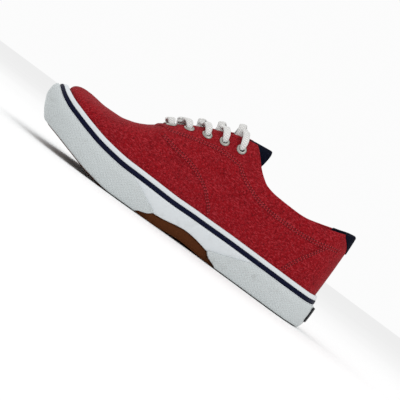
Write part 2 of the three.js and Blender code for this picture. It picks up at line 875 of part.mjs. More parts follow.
// A flat strap with round edges along places that carry their own upward direction
function strap(places) {
  const corners = 8;
  const points = [];
  places.forEach(({ spot, normal }, i) => {
    const before = places[Math.max(i - 1, 0)].spot;
    const after = places[Math.min(i + 1, places.length - 1)].spot;
    const run = after.clone().sub(before).normalize();
    const across = new THREE.Vector3().crossVectors(normal, run).normalize();
    const up = new THREE.Vector3().crossVectors(run, across);
    for (let c = 0; c < corners; c += 1) {
      const turn = (2 * Math.PI * (c + 0.5)) / corners;
      const wide = Math.sign(Math.cos(turn)) * Math.abs(Math.cos(turn)) ** 0.6;
      const high = Math.sign(Math.sin(turn)) * Math.abs(Math.sin(turn)) ** 0.8;
      points.push(
        spot
          .clone()
          .addScaledVector(across, (wide * laceWidth) / 2)
          .addScaledVector(up, (high * laceThickness) / 2),
      );
    }
  });
  const faces = [];
  const lastRing = (places.length - 1) * corners;
  for (let i = 0; i < lastRing; i += corners) {
    for (let c = 0; c < corners; c += 1) {
      const d = (c + 1) % corners;
      faces.push([i + c, i + d, i + corners + d], [i + c, i + corners + d, i + corners + c]);
    }
  }
  for (let c = 1; c < corners - 1; c += 1) {
    faces.push([0, c + 1, c], [lastRing, lastRing + c, lastRing + c + 1]);
  }
  return meshOf(points, faces);
}

const laceSeat = overlayTop + flangeRise + 3 * clearance + laceThickness / 2;

// The straight bar over the pair of eyelets nearest the toe
function makeLaceBar() {
  const at = eyeletRows[0];
  const [near, far] = eyelets;
  const shares = [0, 0.18, 0.35, 0.5, 0.65, 0.82, 1];
  const places = shares.map((share) => {
    const y = THREE.MathUtils.lerp(near.y, far.y, share);
    return lifted(soleLength * at, y, laceSeat);
  });
  return strap(places);
}

// One strand from an eyelet over the throat to the far facing, toward the pair before it
function makeStrand(row, side, rise) {
  const at = eyeletRows[row];
  const ahead = eyeletRows[row - 1];
  const start = eyeletPlace(at, side).y;
  const endAt = THREE.MathUtils.lerp(at, ahead, 0.55);
  const end = throatAxisAt(endAt) - side * (throatHalfAt(endAt) + laceThickness);
  const steps = [
    { along: 0, lift: 0 },
    { along: 0.16, lift: 0 },
    { along: 0.34, lift: 0.1 },
    { along: 0.5, lift: 0.5 },
    { along: 0.66, lift: 1 },
    { along: 0.83, lift: 0.55 },
    { along: 1, lift: 0 },
  ];
  const places = steps.map(({ along, lift }) => {
    const u = THREE.MathUtils.lerp(at, endAt, along);
    const y = THREE.MathUtils.lerp(start, end, along);
    return lifted(soleLength * u, y, laceSeat + rise * lift);
  });
  return toSolid(strap(places));
}

function makeLaceCross(row) {
  const over = makeStrand(row, -1, 1.3 * laceThickness);
  const under = makeStrand(row, 1, 0.4 * laceThickness);
  return toGeometry(over.add(under));
}

// The scene graph

const shoe = new THREE.Group();

function addPiece(name, geometry, material) {
  const mesh = new THREE.Mesh(geometry, material);
  mesh.name = name;
  shoe.add(mesh);
  return mesh;
}

addPiece('outsole', makeOutsole(), gumRubber);
addPiece('midsole', makeMidsole(), whiteRubber);
addPiece('side_stripe', makeStripe(), navyRubber);
addPiece('toe_bumper', makeBumper(toeBumperRows, farAhead), whiteRubber);
addPiece('heel_bumper', makeBumper(heelBumperRows, farBehind), whiteRubber);
addPiece('heel_label', makeHeelLabel(), blackRubber);
addPiece('insole', makeInsole(), liningCloth);
addPiece('upper', makeUpper(), redCanvas);
addPiece('collar_band', makeCollarBand(), redCanvas);
addPiece('heel_counter', makeHeelCounter(), redCanvas);
addPiece('heel_tab', makeHeelTab(), navyCanvas);
addPiece('tongue', makeTongue(), navyCanvas);
for (const eyelet of eyelets) {
  aimAt(addPiece(eyelet.name, makeEyelet(), nickelPlate), eyelet);
}
addPiece('lace_bar', makeLaceBar(), laceCotton);
for (let row = 1; row < eyeletPairs; row += 1) {
  addPiece(`lace_cross_${row + 1}`, makeLaceCross(row), laceCotton);
}

// The origin is under the middle of the shoe, on the floor.
const bounds = new THREE.Box3().setFromObject(shoe);
const middle = bounds.getCenter(new THREE.Vector3());
shoe.position.set(-middle.x, -middle.y, -bounds.min.z);

export default shoe;
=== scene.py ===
"""A low canvas sneaker for the right foot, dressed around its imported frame.

Lengths are in metres. X runs from the heel to the toe, Y to the wearer's left, which is the
inner side of this shoe, and Z up from the floor.
"""

from __future__ import annotations

import logging
import math
import sys
from dataclasses import dataclass, field
from enum import Enum
from typing import Callable, Sequence

import bmesh
import bpy
import numpy as np
from mathutils import Matrix, Vector

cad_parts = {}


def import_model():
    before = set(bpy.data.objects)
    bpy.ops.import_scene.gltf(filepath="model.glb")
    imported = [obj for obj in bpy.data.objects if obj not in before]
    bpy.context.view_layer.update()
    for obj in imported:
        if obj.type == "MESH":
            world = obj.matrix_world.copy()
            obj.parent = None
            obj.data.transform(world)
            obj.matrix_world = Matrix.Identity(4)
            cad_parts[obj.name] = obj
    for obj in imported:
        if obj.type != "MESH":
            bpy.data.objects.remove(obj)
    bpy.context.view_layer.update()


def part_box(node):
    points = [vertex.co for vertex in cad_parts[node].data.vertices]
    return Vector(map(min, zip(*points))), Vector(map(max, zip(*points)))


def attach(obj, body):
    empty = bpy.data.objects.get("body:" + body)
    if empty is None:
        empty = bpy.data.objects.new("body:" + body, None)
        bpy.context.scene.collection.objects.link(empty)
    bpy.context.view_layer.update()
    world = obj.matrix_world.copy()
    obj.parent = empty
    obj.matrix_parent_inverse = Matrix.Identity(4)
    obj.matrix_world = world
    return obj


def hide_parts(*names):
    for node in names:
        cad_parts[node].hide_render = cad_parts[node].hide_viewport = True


LOG = logging.getLogger("sneaker")
MM = 0.001
Array = np.ndarray
Profile = Callable[[Array], Array]
Color = tuple[float, float, float, float]
Setting = object


class Side(Enum):
    """The two long sides of the shoe, with their sign along Y."""

    INNER = 1
    OUTER = -1


class Source(Enum):
    """Where a pattern's coordinates come from."""

    OBJECT = "Object"
    UV = "UV"


def track(at: Sequence[float], values: Sequence[float]) -> Profile:
    """Make a smooth curve through a table's rows that never overshoots them.

    Args:
        at: Shares of the length, one for each row.
        values: What the curve takes at each row.

    Returns:
        A function from shares to values.
    """
    stations = np.asarray(at, float)
    heights = np.asarray(values, float)
    rises = np.diff(heights) / np.diff(stations)
    before = np.concatenate((rises[:1], rises))
    after = np.concatenate((rises, rises[-1:]))
    product = before * after
    total = np.where(product > 0, before + after, 1.0)
    slopes = np.where(product > 0, 2 * product / total, 0.0)

    def curve(share: Array) -> Array:
        """Give the value at each share.

        Args:
            share: Shares of the length.

        Returns:
            The values.
        """
        share = np.clip(share, stations[0], stations[-1])
        i = np.clip(np.searchsorted(stations, share, side="right") - 1, 0, len(rises) - 1)
        span = stations[i + 1] - stations[i]
        t = (share - stations[i]) / span
        blend = t * t * (3 - 2 * t)
        bend = t * (1 - t) * span * ((1 - t) * slopes[i] - t * slopes[i + 1])
        return heights[i] + (heights[i + 1] - heights[i]) * blend + bend

    return curve


def rounded(distance: Array, reach: float, power: float) -> Array:
    """Rise from 0 to 1 over the reach as half of a superellipse does."""
    t = np.clip(np.asarray(distance, float) / reach, 0, 1)
    return (1 - (1 - t) ** power) ** (1 / power)


def smooth(low: float, high: float, value: Array) -> Array:
    """Rise smoothly from 0 at low to 1 at high."""
    t = np.clip((np.asarray(value, float) - low) / (high - low), 0, 1)
    return t * t * (3 - 2 * t)


def lerp(start: Array, end: Array, share: Array) -> Array:
    """Blend from start to end."""
    return start + (end - start) * share


def unit(vectors: Array) -> Array:
    """Bring vectors to length 1."""
    return vectors / np.maximum(np.linalg.norm(vectors, axis=-1, keepdims=True), 1e-12)


def run_lengths(points: Array, axis: int) -> Array:
    """Give the distance walked along a grid's rows or columns up to each point.

    Args:
        points: The grid's points.
        axis: 0 to walk from row to row, 1 to walk along each row.

    Returns:
        The distances.
    """
    steps = np.linalg.norm(np.diff(points, axis=axis), axis=-1)
    start = np.zeros_like(np.take(steps, [0], axis=axis))
    return np.concatenate((start, np.cumsum(steps, axis=axis)), axis=axis)


def edge_steps(count: int, fine: float) -> Array:
    """Divide 0 to 1 evenly, with a few fine steps at both ends.

    Args:
        count: How many even steps there are.
        fine: The share that the fine steps take at each end.

    Returns:
        The shares, from 0 to 1.
    """
    start = fine * np.array([0, 0.15, 0.4, 0.7])
    return np.concatenate((start, np.linspace(fine, 1 - fine, count + 1), 1 - start[::-1]))


@dataclass(frozen=True)
class Sizes:
    """The driving sizes that the dressed shoe shares with its frame."""

    sole_length: float = 0.295
    ball_width: float = 0.107
    waist_width: float = 0.080
    heel_width: float = 0.075
    side_height: float = 0.031
    toe_spring: float = 0.017
    arch_rise: float = 0.002
    outsole_edge: float = 0.009
    outsole_inset: float = 0.0016
    bed_height: float = 0.015
    side_wall: float = 0.003
    toe_tuck: float = 0.012
    heel_tuck: float = 0.003
    edge_round: float = 0.0012
    clearance: float = 0.0003
    upper_wall: float = 0.002
    toe_box_height: float = 0.057
    instep_height: float = 0.111
    collar_height: float = 0.081
    heel_height: float = 0.095
    throat_gap: float = 0.019
    stripe_width: float = 0.0036
    stripe_drop: float = 0.0042
    stripe_depth: float = 0.0014
    bumper_thickness: float = 0.0021
    bumper_lift: float = 0.0007
    insole_thickness: float = 0.0035


@dataclass(frozen=True)
class Fold:
    """A soft trough or ridge in one side of the canvas, drawn in side view."""

    side: Side
    start: tuple[float, float]
    end: tuple[float, float]
    width: float
    height: float

    def lift(self, points: Array) -> Array:
        """Give how far the fold moves each point outwards.

        Args:
            points: Points in the form's own place.

        Returns:
            The distances.
        """
        flat = points[..., (0, 2)]
        start, end = np.array(self.start), np.array(self.end)
        run = end - start
        share = np.clip(((flat - start) @ run) / (run @ run), 0, 1)
        distance = np.linalg.norm(flat - (start + share[..., None] * run), axis=-1)
        on_side = smooth(0.004, 0.016, self.side.value * points[..., 1])
        return self.height * on_side * np.exp(-((distance / self.width) ** 2))


FOLDS = (
    Fold(Side.INNER, (0.188, 0.052), (0.146, 0.056), 0.0060, -0.0016),
    Fold(Side.INNER, (0.170, 0.067), (0.138, 0.065), 0.0050, -0.0014),
    Fold(Side.INNER, (0.138, 0.065), (0.100, 0.056), 0.0060, -0.0016),
    Fold(Side.INNER, (0.152, 0.046), (0.128, 0.052), 0.0050, 0.0010),
    Fold(Side.INNER, (0.112, 0.068), (0.070, 0.060), 0.0070, 0.0010),
    Fold(Side.INNER, (0.206, 0.050), (0.222, 0.040), 0.0080, -0.0009),
    Fold(Side.INNER, (0.060, 0.048), (0.034, 0.044), 0.0080, -0.0010),
    Fold(Side.OUTER, (0.190, 0.050), (0.150, 0.055), 0.0065, -0.0013),
    Fold(Side.OUTER, (0.165, 0.066), (0.120, 0.060), 0.0060, -0.0012),
    Fold(Side.OUTER, (0.100, 0.058), (0.060, 0.050), 0.0080, 0.0009),
    Fold(Side.OUTER, (0.210, 0.046), (0.228, 0.040), 0.0080, -0.0008),
)


class ShoeForm:
    """The curved form that every piece of the shoe follows."""

    def __init__(self, sizes: Sizes, folds: Sequence[Fold] = ()) -> None:
        """Work out the form's curves and fit it to the frame.

        Args:
            sizes: The driving sizes.
            folds: The creases in the upper, in the form's own place.
        """
        self.sizes = sizes
        self.folds = folds
        heel, waist, ball = sizes.heel_width, sizes.waist_width, sizes.ball_width
        plan = (0, 0.13, 0.28, 0.42, 0.54, 0.66, 0.75, 0.86, 1)
        self.inner_width = track(plan, (
            0.5 * heel, 0.5 * heel, 0.475 * heel, 0.455 * waist, 0.405 * ball, 0.475 * ball,
            0.495 * ball, 0.495 * ball, 0.48 * ball,
        ))
        self.outer_width = track(plan, (
            0.5 * heel, 0.5 * heel, 0.515 * heel, 0.52 * waist, 0.455 * ball, 0.505 * ball,
            0.5 * ball, 0.455 * ball, 0.37 * ball,
        ))
        along = (0, 0.06, 0.33, 0.46, 0.56, 0.7, 0.79, 0.86, 0.92, 0.955, 1)
        arch = sizes.arch_rise / sizes.toe_spring
        self.low_share = track(along, (0, 0, 0, arch, 0, 0, 0.2, 0.5, 0.76, 0.88, 1))
        self.edge_share = track(along, (0.6, 0.65, 0.75, 1.1, 0.9, 0.75, 0.7, 0.66, 0.62, 0.6, 0.6))
        self.wall_share = track(along, (1.07, 1.03, 1.03, 0.95, 1, 1.03, 1, 0.98, 1, 1.07, 1.3))
        self.bed_share = track(along, (1, 1, 1, 1, 0.98, 0.94, 0.92, 0.9, 0.88, 0.87, 0.87))
        levels = (0, 0.12, 0.28, 0.5, 0.66, 0.84, 1)
        self.side_lean = track(levels, (1, 0.35, 0.05, 0, 0.1, 0.4, 0.8))
        self.toe_lean = track(levels, (1, 0.66, 0.3, 0.02, 0.03, 0.3, 0.68))
        self.heel_lean = track(levels, (1, 0.36, 0.06, 0, 0.05, 0.2, 0.45))
        instep, toe_box = sizes.instep_height, sizes.toe_box_height
        spine = (0, 0.2, 0.34, 0.43, 0.475, 0.53, 0.585, 0.63, 0.67, 0.7, 0.74, 0.79, 0.85, 0.91, 1)
        self.spine_height = track(spine, (
            1.04 * instep, 1.04 * instep, 1.035 * instep, 1.01 * instep, 0.98 * instep,
            0.9 * instep, 0.82 * instep, 0.745 * instep, 0.665 * instep, 0.598 * instep,
            1.055 * toe_box, 0.988 * toe_box, 0.975 * toe_box, toe_box, 0.99 * toe_box,
        ))
        self.spine_shift = track(spine, (
            0, 0, 0.01, 0.02, 0.025, 0.03, 0.03, 0.03, 0.03, 0.03, 0.035, 0.035, 0.04, 0.045, 0.05,
        ))
        self.fullness = track(spine, (
            2.7, 2.5, 2.1, 1.75, 1.65, 1.72, 1.85, 2, 2.15, 2.2, 2.25, 2.3, 2.3, 2.3, 2.2,
        ))
        self.spine_start, self.spine_end = 0.04, 0.915
        collar, heel_top = sizes.collar_height, sizes.heel_height
        self.collar_line = track(
            (-0.1, 0.015, 0.055, 0.1, 0.15, 0.23, 0.3, 0.34, 0.37, 0.39, 0.415, 0.435, 0.445),
            (
                heel_top, heel_top, 0.965 * heel_top, 1.08 * collar, 1.033 * collar, collar,
                1.006 * collar, 1.03 * collar, 0.8 * instep, 0.85 * instep, 0.93 * instep,
                0.985 * instep, 1.06 * instep,
            ),
        )
        self.band_line = track(
            (0, 0.09, 0.15, 0.26, 0.34, 0.38, 0.415, 0.45, 0.5, 0.6, 0.66, 0.7),
            (
                0.8 * heel_top, 0.865 * collar, 0.817 * collar, 0.795 * collar, 0.82 * collar,
                0.87 * collar, 0.925 * collar, 0.732 * instep, 0.733 * instep, 0.68 * instep,
                0.63 * instep, 0.585 * instep,
            ),
        )
        self.throat_front, self.throat_rear = 0.69, 0.4
        self.band_front, self.band_front_reach = 0.703, 0.055
        self.band_front_half = 0.030
        self.spread = np.linspace(-math.pi, 2 * math.pi, 3001)
        self.walked = run_lengths(self._outline(self.spread)[:, None], 0)[:, 0]
        self.shift = np.zeros(3)
        self.shift = self._fit_to_frame()

    def _fit_to_frame(self) -> Array:
        """Find how far the form moves so that its side wall is the frame's midsole.

        Returns:
            The move along X, Y and Z.
        """
        low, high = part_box("midsole")
        gap = self.sizes.clearance
        angles = np.linspace(0, 2 * math.pi, 57)
        heights: list[Profile] = [
            lambda u, s=share: lerp(self.outsole_top(u) + gap, self.stripe_low(u) - 3 * gap, s)
            for share in (0, 0.25, 0.6)
        ]
        heights.append(lambda u: self.stripe_low(u) - gap)
        heights.append(lambda u: self.stripe_top(u) + gap)
        spots = np.concatenate([self.wall(angles, height, 0.0) for height in heights])
        middle = (spots.min(axis=0) + spots.max(axis=0)) / 2
        return np.array(((low.x + high.x) / 2 - middle[0], (low.y + high.y) / 2 - middle[1], 0))

    def underside(self, u: Array) -> Array:
        """Give the height of the sole's underside at shares of its length."""
        return self.sizes.toe_spring * self.low_share(u)

    def outsole_top(self, u: Array) -> Array:
        """Give the height of the outsole's upper edge."""
        return self.underside(u) + self.sizes.outsole_edge * self.edge_share(u)

    def side_top(self, u: Array) -> Array:
        """Give the height of the side wall's top edge."""
        return self.underside(u) + self.sizes.side_height * self.wall_share(u)

    def bed(self, u: Array) -> Array:
        """Give the height of the foot bed."""
        return self.underside(u) + self.sizes.bed_height * self.bed_share(u)

    def stripe_top(self, u: Array) -> Array:
        """Give the height of the stripe's upper edge."""
        return self.side_top(u) - self.sizes.stripe_drop

    def stripe_low(self, u: Array) -> Array:
        """Give the height of the stripe's lower edge."""
        return self.stripe_top(u) - self.sizes.stripe_width

    def _outline(self, angle: Array) -> Array:
        """Give the plan outline of the side wall at angles of its round.

        Args:
            angle: Angles of the round.

        Returns:
            The places, in plan.
        """
        u = (1 - np.cos(angle)) / 2
        side = np.where(np.sin(angle) >= 0, 1.0, -1.0)
        half = (self.inner_width(u) + self.outer_width(u)) / 2
        axis = (self.inner_width(u) - self.outer_width(u)) / 2
        end = rounded(u, 0.13, 2.1) * rounded(1 - u, 0.22, 2.15)
        return np.stack((self.sizes.sole_length * u, axis + side * half * end), axis=-1)

    def around(self, angle: Array) -> Array:
        """Give the distance walked along the outline up to an angle."""
        return np.interp(angle, self.spread, self.walked)

    def rim(self, angle: Array) -> tuple[Array, Array]:
        """Give places on the outline and their outward directions.

        Args:
            angle: Angles of the round, 0 at the heel and pi at the toe, inner side positive.

        Returns:
            The places and the directions, both in plan.
        """
        step = math.pi / 112
        run = unit(self._outline(angle + step) - self._outline(angle - step))
        return self._outline(angle), np.stack((-run[..., 1], run[..., 0]), axis=-1)

    def lean(self, out: Array, t: Array) -> Array:
        """Tell how far the side wall draws in at shares of its height.

        Args:
            out: The wall's outward directions, in plan.
            t: Shares of the side's height.

        Returns:
            How far it draws in.
        """
        sizes = self.sizes
        toe = np.clip(out[..., 0], 0, None) ** 2
        heel = np.clip(-out[..., 0], 0, None) ** 2
        side = 1 - toe - heel
        return (
            side * sizes.edge_round * self.side_lean(t)
            + toe * sizes.toe_tuck * self.toe_lean(t)
            + heel * sizes.heel_tuck * self.heel_lean(t)
        )

    def wall(self, angle: Array, height: Profile, out: Array) -> Array:
        """Give points on the side wall.

        Args:
            angle: Angles of the round.
            height: The height at shares of the length.
            out: How far out from the wall the points lie.

        Returns:
            The points, in the frame.
        """
        spot, outward = self.rim(angle)
        place = spot
        for _ in range(3):
            u = place[..., 0] / self.sizes.sole_length
            t = (height(u) - self.underside(u)) / (self.side_top(u) - self.underside(u))
            place = spot + outward * (out - self.lean(outward, t))[..., None]
        z = height(place[..., 0] / self.sizes.sole_length)
        return np.stack((place[..., 0], place[..., 1], z), axis=-1) + self.shift

    def upright(self, angle: Array, height: Profile, inset: float) -> Array:
        """Give points that keep the plan of the side wall's top edge at any height.

        Args:
            angle: Angles of the round.
            height: The height at shares of the length.
            inset: How far in from the top edge the points lie.

        Returns:
            The points, in the frame.
        """
        spot, outward = self.rim(angle)
        place = spot - outward * (inset + self.lean(outward, np.ones_like(angle)))[..., None]
        z = height(place[..., 0] / self.sizes.sole_length)
        return np.stack((place[..., 0], place[..., 1], z), axis=-1) + self.shift

    def inward(self, angle: Array, ring: Array, share: float, height: Profile) -> Array:
        """Draw a ring in toward the sole's long middle line.

        Args:
            angle: The ring's angles.
            ring: The ring's points.
            share: 1 at the ring, 0 at the middle line.
            height: The height at shares of the length.

        Returns:
            The points, in the frame.
        """
        length = self.sizes.sole_length
        middle = lerp(0.12, 0.86, (1 - np.cos(angle)) / 2)
        axis = (self.inner_width(middle) - self.outer_width(middle)) / 2
        x = lerp(length * middle + self.shift[0], ring[:, 0], share)
        y = lerp(axis + self.shift[1], ring[:, 1], share)
        return np.stack((x, y, height((x - self.shift[0]) / length)), axis=-1)

    def _column(self, angle: Array) -> tuple[Array, Array, Array, Array]:
        """Give a column's foot, spine, base height and fullness.

        Args:
            angle: Angles of the round.

        Returns:
            The foot and the spine's place, the base height and the fullness.
        """
        sizes = self.sizes
        u = (1 - np.cos(angle)) / 2
        spot, outward = self.rim(angle)
        inset = sizes.side_wall + sizes.clearance + self.lean(outward, np.ones_like(angle))
        foot = spot - outward * inset[..., None]
        along = lerp(self.spine_start, self.spine_end, u)
        spine = np.stack((
            sizes.sole_length * along,
            sizes.ball_width * self.spine_shift(along),
            np.maximum(self.spine_height(along), self.side_top(along) + sizes.side_wall / 2),
        ), axis=-1)
        return foot, spine, self.side_top(foot[..., 0] / sizes.sole_length), self.fullness(along)

    def arch(self, angle: Array, share: Array) -> Array:
        """Give points of the upper's outside, in the form's own place.

        Args:
            angle: Angles of the round.
            share: 0 at the side wall's top edge, 1 at the spine, below 0 under the edge and
                above 1 on the other side of the spine.

        Returns:
            The points.
        """
        angle, share = np.broadcast_arrays(np.asarray(angle, float), np.asarray(share, float))
        angle = np.where(share > 1, -angle, angle)
        share = np.where(share > 1, 2 - share, share)
        foot, spine, base, fullness = self._column(angle)
        turn = np.clip(share, 0, 1) * math.pi / 2
        across = np.clip(np.cos(turn), 0, 1) ** (2 / fullness)
        across = np.where(share >= 1, 0.0, across)
        up = np.sin(turn) ** (2 / fullness)
        x = lerp(spine[..., 0], foot[..., 0], across)
        y = lerp(spine[..., 1], foot[..., 1], across)
        depth = base - self.bed(foot[..., 0] / self.sizes.sole_length)
        sunk = np.clip(-share, 0, None) * depth
        return np.stack((x, y, lerp(base, spine[..., 2], up) - sunk), axis=-1)

    def normal(self, angle: Array, share: Array) -> Array:
        """Give the outward direction of the upper's outside.

        Args:
            angle: Angles of the round.
            share: Shares as for the arch.

        Returns:
            The directions.
        """
        angle, share = np.broadcast_arrays(np.asarray(angle, float), np.asarray(share, float))
        step = 0.005
        near_spine = 0.985
        folded = np.where(share > 1, 2 - share, share)
        held = np.where(share > 1, -angle, angle)
        flat = np.minimum(folded, near_spine)

        def raw(where: Array) -> Array:
            """Give the direction on one side of the spine.

            Args:
                where: Angles of the round.

            Returns:
                The directions.
            """
            along = self.arch(where + step, flat) - self.arch(where - step, flat)
            across = self.arch(where, flat + step) - self.arch(where, flat - step)
            return unit(np.cross(across, along))

        here = raw(held)
        both = unit(here + raw(-held))
        return np.where((folded > near_spine)[..., None], both, here)

    def place(self, angle: Array, share: Array, lift: Array = 0.0) -> Array:
        """Give points at a distance from the upper's outside, creases included, in the frame.

        Args:
            angle: Angles of the round.
            share: Shares as for the arch.
            lift: The distance from the outside.

        Returns:
            The points.
        """
        spot = self.arch(angle, share)
        swell = sum((fold.lift(spot) for fold in self.folds), np.zeros(spot.shape[:-1]))
        return spot + self.normal(angle, share) * (swell + lift)[..., None] + self.shift

    def from_side(self, x: Array, z: Array, side: Side) -> tuple[Array, Array]:
        """Find the angle and share of points given in side view.

        Args:
            x: Distances from the heel.
            z: Heights.
            side: The side of the shoe.

        Returns:
            The angles and the shares.
        """
        u = np.asarray(x, float) / self.sizes.sole_length
        for _ in range(40):
            angle = side.value * np.arccos(np.clip(1 - 2 * u, -1, 1))
            _, spine, base, fullness = self._column(angle)
            up = np.clip((z - base) / (spine[..., 2] - base), 0, 1)
            share = np.arcsin(up ** (fullness / 2)) * 2 / math.pi
            u = u + 0.8 * (x - self.arch(angle, share)[..., 0]) / self.sizes.sole_length
        return angle, share

    def from_plan(self, x: Array, y: Array) -> tuple[Array, Array]:
        """Find the angle and share of points given in plan, in the form's own place.

        Args:
            x: Distances from the heel.
            y: Distances to the inner side.

        Returns:
            The angles and the shares.
        """
        x, y = np.broadcast_arrays(np.asarray(x, float), np.asarray(y, float))
        u = x / self.sizes.sole_length
        for _ in range(14):
            middle = self.throat_axis(lerp(self.spine_start, self.spine_end, u))
            side = np.where(y >= middle, 1.0, -1.0)
            angle = side * np.arccos(np.clip(1 - 2 * u, -1, 1))
            foot, spine, _, fullness = self._column(angle)
            across = np.clip((y - spine[..., 1]) / (foot[..., 1] - spine[..., 1]), 0, 1)
            share = np.arccos(across ** (fullness / 2)) * 2 / math.pi
            u = u + (x - self.arch(angle, share)[..., 0]) / self.sizes.sole_length
        return angle, share

    def throat_axis(self, u: Array) -> Array:
        """Give the middle of the throat in plan."""
        return self.sizes.ball_width * self.spine_shift(u)

    def throat_half(self, u: Array) -> Array:
        """Give half of the gap between the facings, round at its front end.

        Args:
            u: Shares of the length.

        Returns:
            Half of the gap.
        """
        left = self.throat_front - np.asarray(u, float)
        end = rounded(np.clip(left, 0, None), 0.014, 2)
        widening = lerp(0.42, 1, left / (self.throat_front - self.throat_rear))
        return self.sizes.throat_gap / 2 * widening * end

    def openness(self, points: Array) -> Array:
        """Tell how far points lie inside the collar's mouth or the throat, above 0 inside.

        Args:
            points: Points in the form's own place.

        Returns:
            The distances.
        """
        u = points[..., 0] / self.sizes.sole_length
        over = points[..., 2] - self.collar_line(u)
        gap = self.throat_half(u) - np.abs(points[..., 1] - self.throat_axis(u))
        in_throat = (u > self.throat_rear - 0.03) & (u < self.throat_front)
        return np.maximum(over, np.where(in_throat, gap, -1.0))

    def bandness(self, points: Array) -> Array:
        """Tell how far points lie inside the collar band's outline, above 0 inside.

        Args:
            points: Points in the form's own place.

        Returns:
            The distances.
        """
        u = points[..., 0] / self.sizes.sole_length
        front = self.band_front_half * rounded(
            np.clip(self.band_front - u, 0, None), self.band_front_reach, 2.4
        )
        beyond = u >= self.band_front - self.band_front_reach
        plan = front - np.abs(points[..., 1] - self.throat_axis(u))
        return np.minimum(points[..., 2] - self.band_line(u), np.where(beyond, plan, 1.0))

    def crossing(self, angle: Array, test: Callable[[Array], Array]) -> Array:
        """Find on each column the lowest share where a test turns positive, or else 1.

        Args:
            angle: The columns' angles.
            test: Gives a number for each point of the form.

        Returns:
            The shares.
        """
        shares = np.linspace(0, 1, 181)
        inside = test(self.arch(angle[:, None], shares[None, :])) > 0
        found = inside.any(axis=1)
        first = np.where(found, inside.argmax(axis=1), len(shares) - 1)
        low, high = shares[np.maximum(first - 1, 0)], shares[first]
        for _ in range(16):
            middle = (low + high) / 2
            hit = test(self.arch(angle, middle)) > 0
            high = np.where(hit, middle, high)
            low = np.where(hit, low, middle)
        return np.where(found, high, 1.0)

    def apex(self, at: float) -> float:
        """Give the angle of the column that meets the spine at a share of the length."""
        u = (at - self.spine_start) / (self.spine_end - self.spine_start)
        return math.acos(1 - 2 * u)


@dataclass
class Seam:
    """A line on the form as angles and shares, which can be read at even distances."""

    form: ShoeForm
    angle: Array
    share: Array

    def at(self, fractions: Array) -> tuple[Array, Array]:
        """Give angle and share at fractions of the line's length.

        Args:
            fractions: Fractions of the length.

        Returns:
            The angles and the shares.
        """
        lengths = self.lengths()
        wanted = np.asarray(fractions) * lengths[-1]
        return np.interp(wanted, lengths, self.angle), np.interp(wanted, lengths, self.share)

    def lengths(self) -> Array:
        """Give the distance walked up to each point."""
        return run_lengths(self.form.arch(self.angle, self.share), 0)

    def resampled(self, fractions: Array) -> Seam:
        """Give the same line with its points at other fractions of the length."""
        return Seam(self.form, *self.at(fractions))

    def part(self, start: float, end: float) -> Seam:
        """Cut out the part between two fractions of the length."""
        return self.resampled(np.linspace(start, end, 400))

    def along(self) -> Array:
        """Give the distance from the heel at each point, in side view."""
        return self.form.arch(self.angle, self.share)[..., 0]

    def fraction_where(self, reached: Array) -> float:
        """Give the fraction of the length at the first point where a condition holds."""
        lengths = self.lengths()
        return float(lengths[int(np.argmax(reached))] / lengths[-1])


class Value:
    """A number that a shader works out, which takes Python's operators."""

    def __init__(self, paint: Paint, socket: bpy.types.NodeSocket) -> None:
        """Keep the paint and the socket."""
        self.paint = paint
        self.socket = socket

    def _math(self, operation: str, first: Setting, second: Setting) -> Value:
        """Add one Math node."""
        node = self.paint.node("ShaderNodeMath", {"operation": operation}, {0: first, 1: second})
        return Value(self.paint, node.outputs[0])

    def __add__(self, other: Setting) -> Value:
        """Add."""
        return self._math("ADD", self, other)

    def __radd__(self, other: Setting) -> Value:
        """Add to a number."""
        return self._math("ADD", other, self)

    def __sub__(self, other: Setting) -> Value:
        """Subtract."""
        return self._math("SUBTRACT", self, other)

    def __rsub__(self, other: Setting) -> Value:
        """Subtract from a number."""
        return self._math("SUBTRACT", other, self)

    def __mul__(self, other: Setting) -> Value:
        """Multiply."""
        return self._math("MULTIPLY", self, other)

    def __rmul__(self, other: Setting) -> Value:
        """Multiply a number."""
        return self._math("MULTIPLY", other, self)

    def high(self, other: Setting) -> Value:
        """Take the larger of two."""
        return self._math("MAXIMUM", self, other)

    def between(self, low: float, high: float) -> Value:
        """Rise smoothly from 0 at low to 1 at high.

        Args:
            low: Where the rise starts.
            high: Where it ends.

        Returns:
            The new value.
        """
        node = self.paint.node(
            "ShaderNodeMapRange",
            {"interpolation_type": "SMOOTHSTEP"},
            {"Value": self, "From Min": low, "From Max": high},
        )
        return Value(self.paint, node.outputs["Result"])


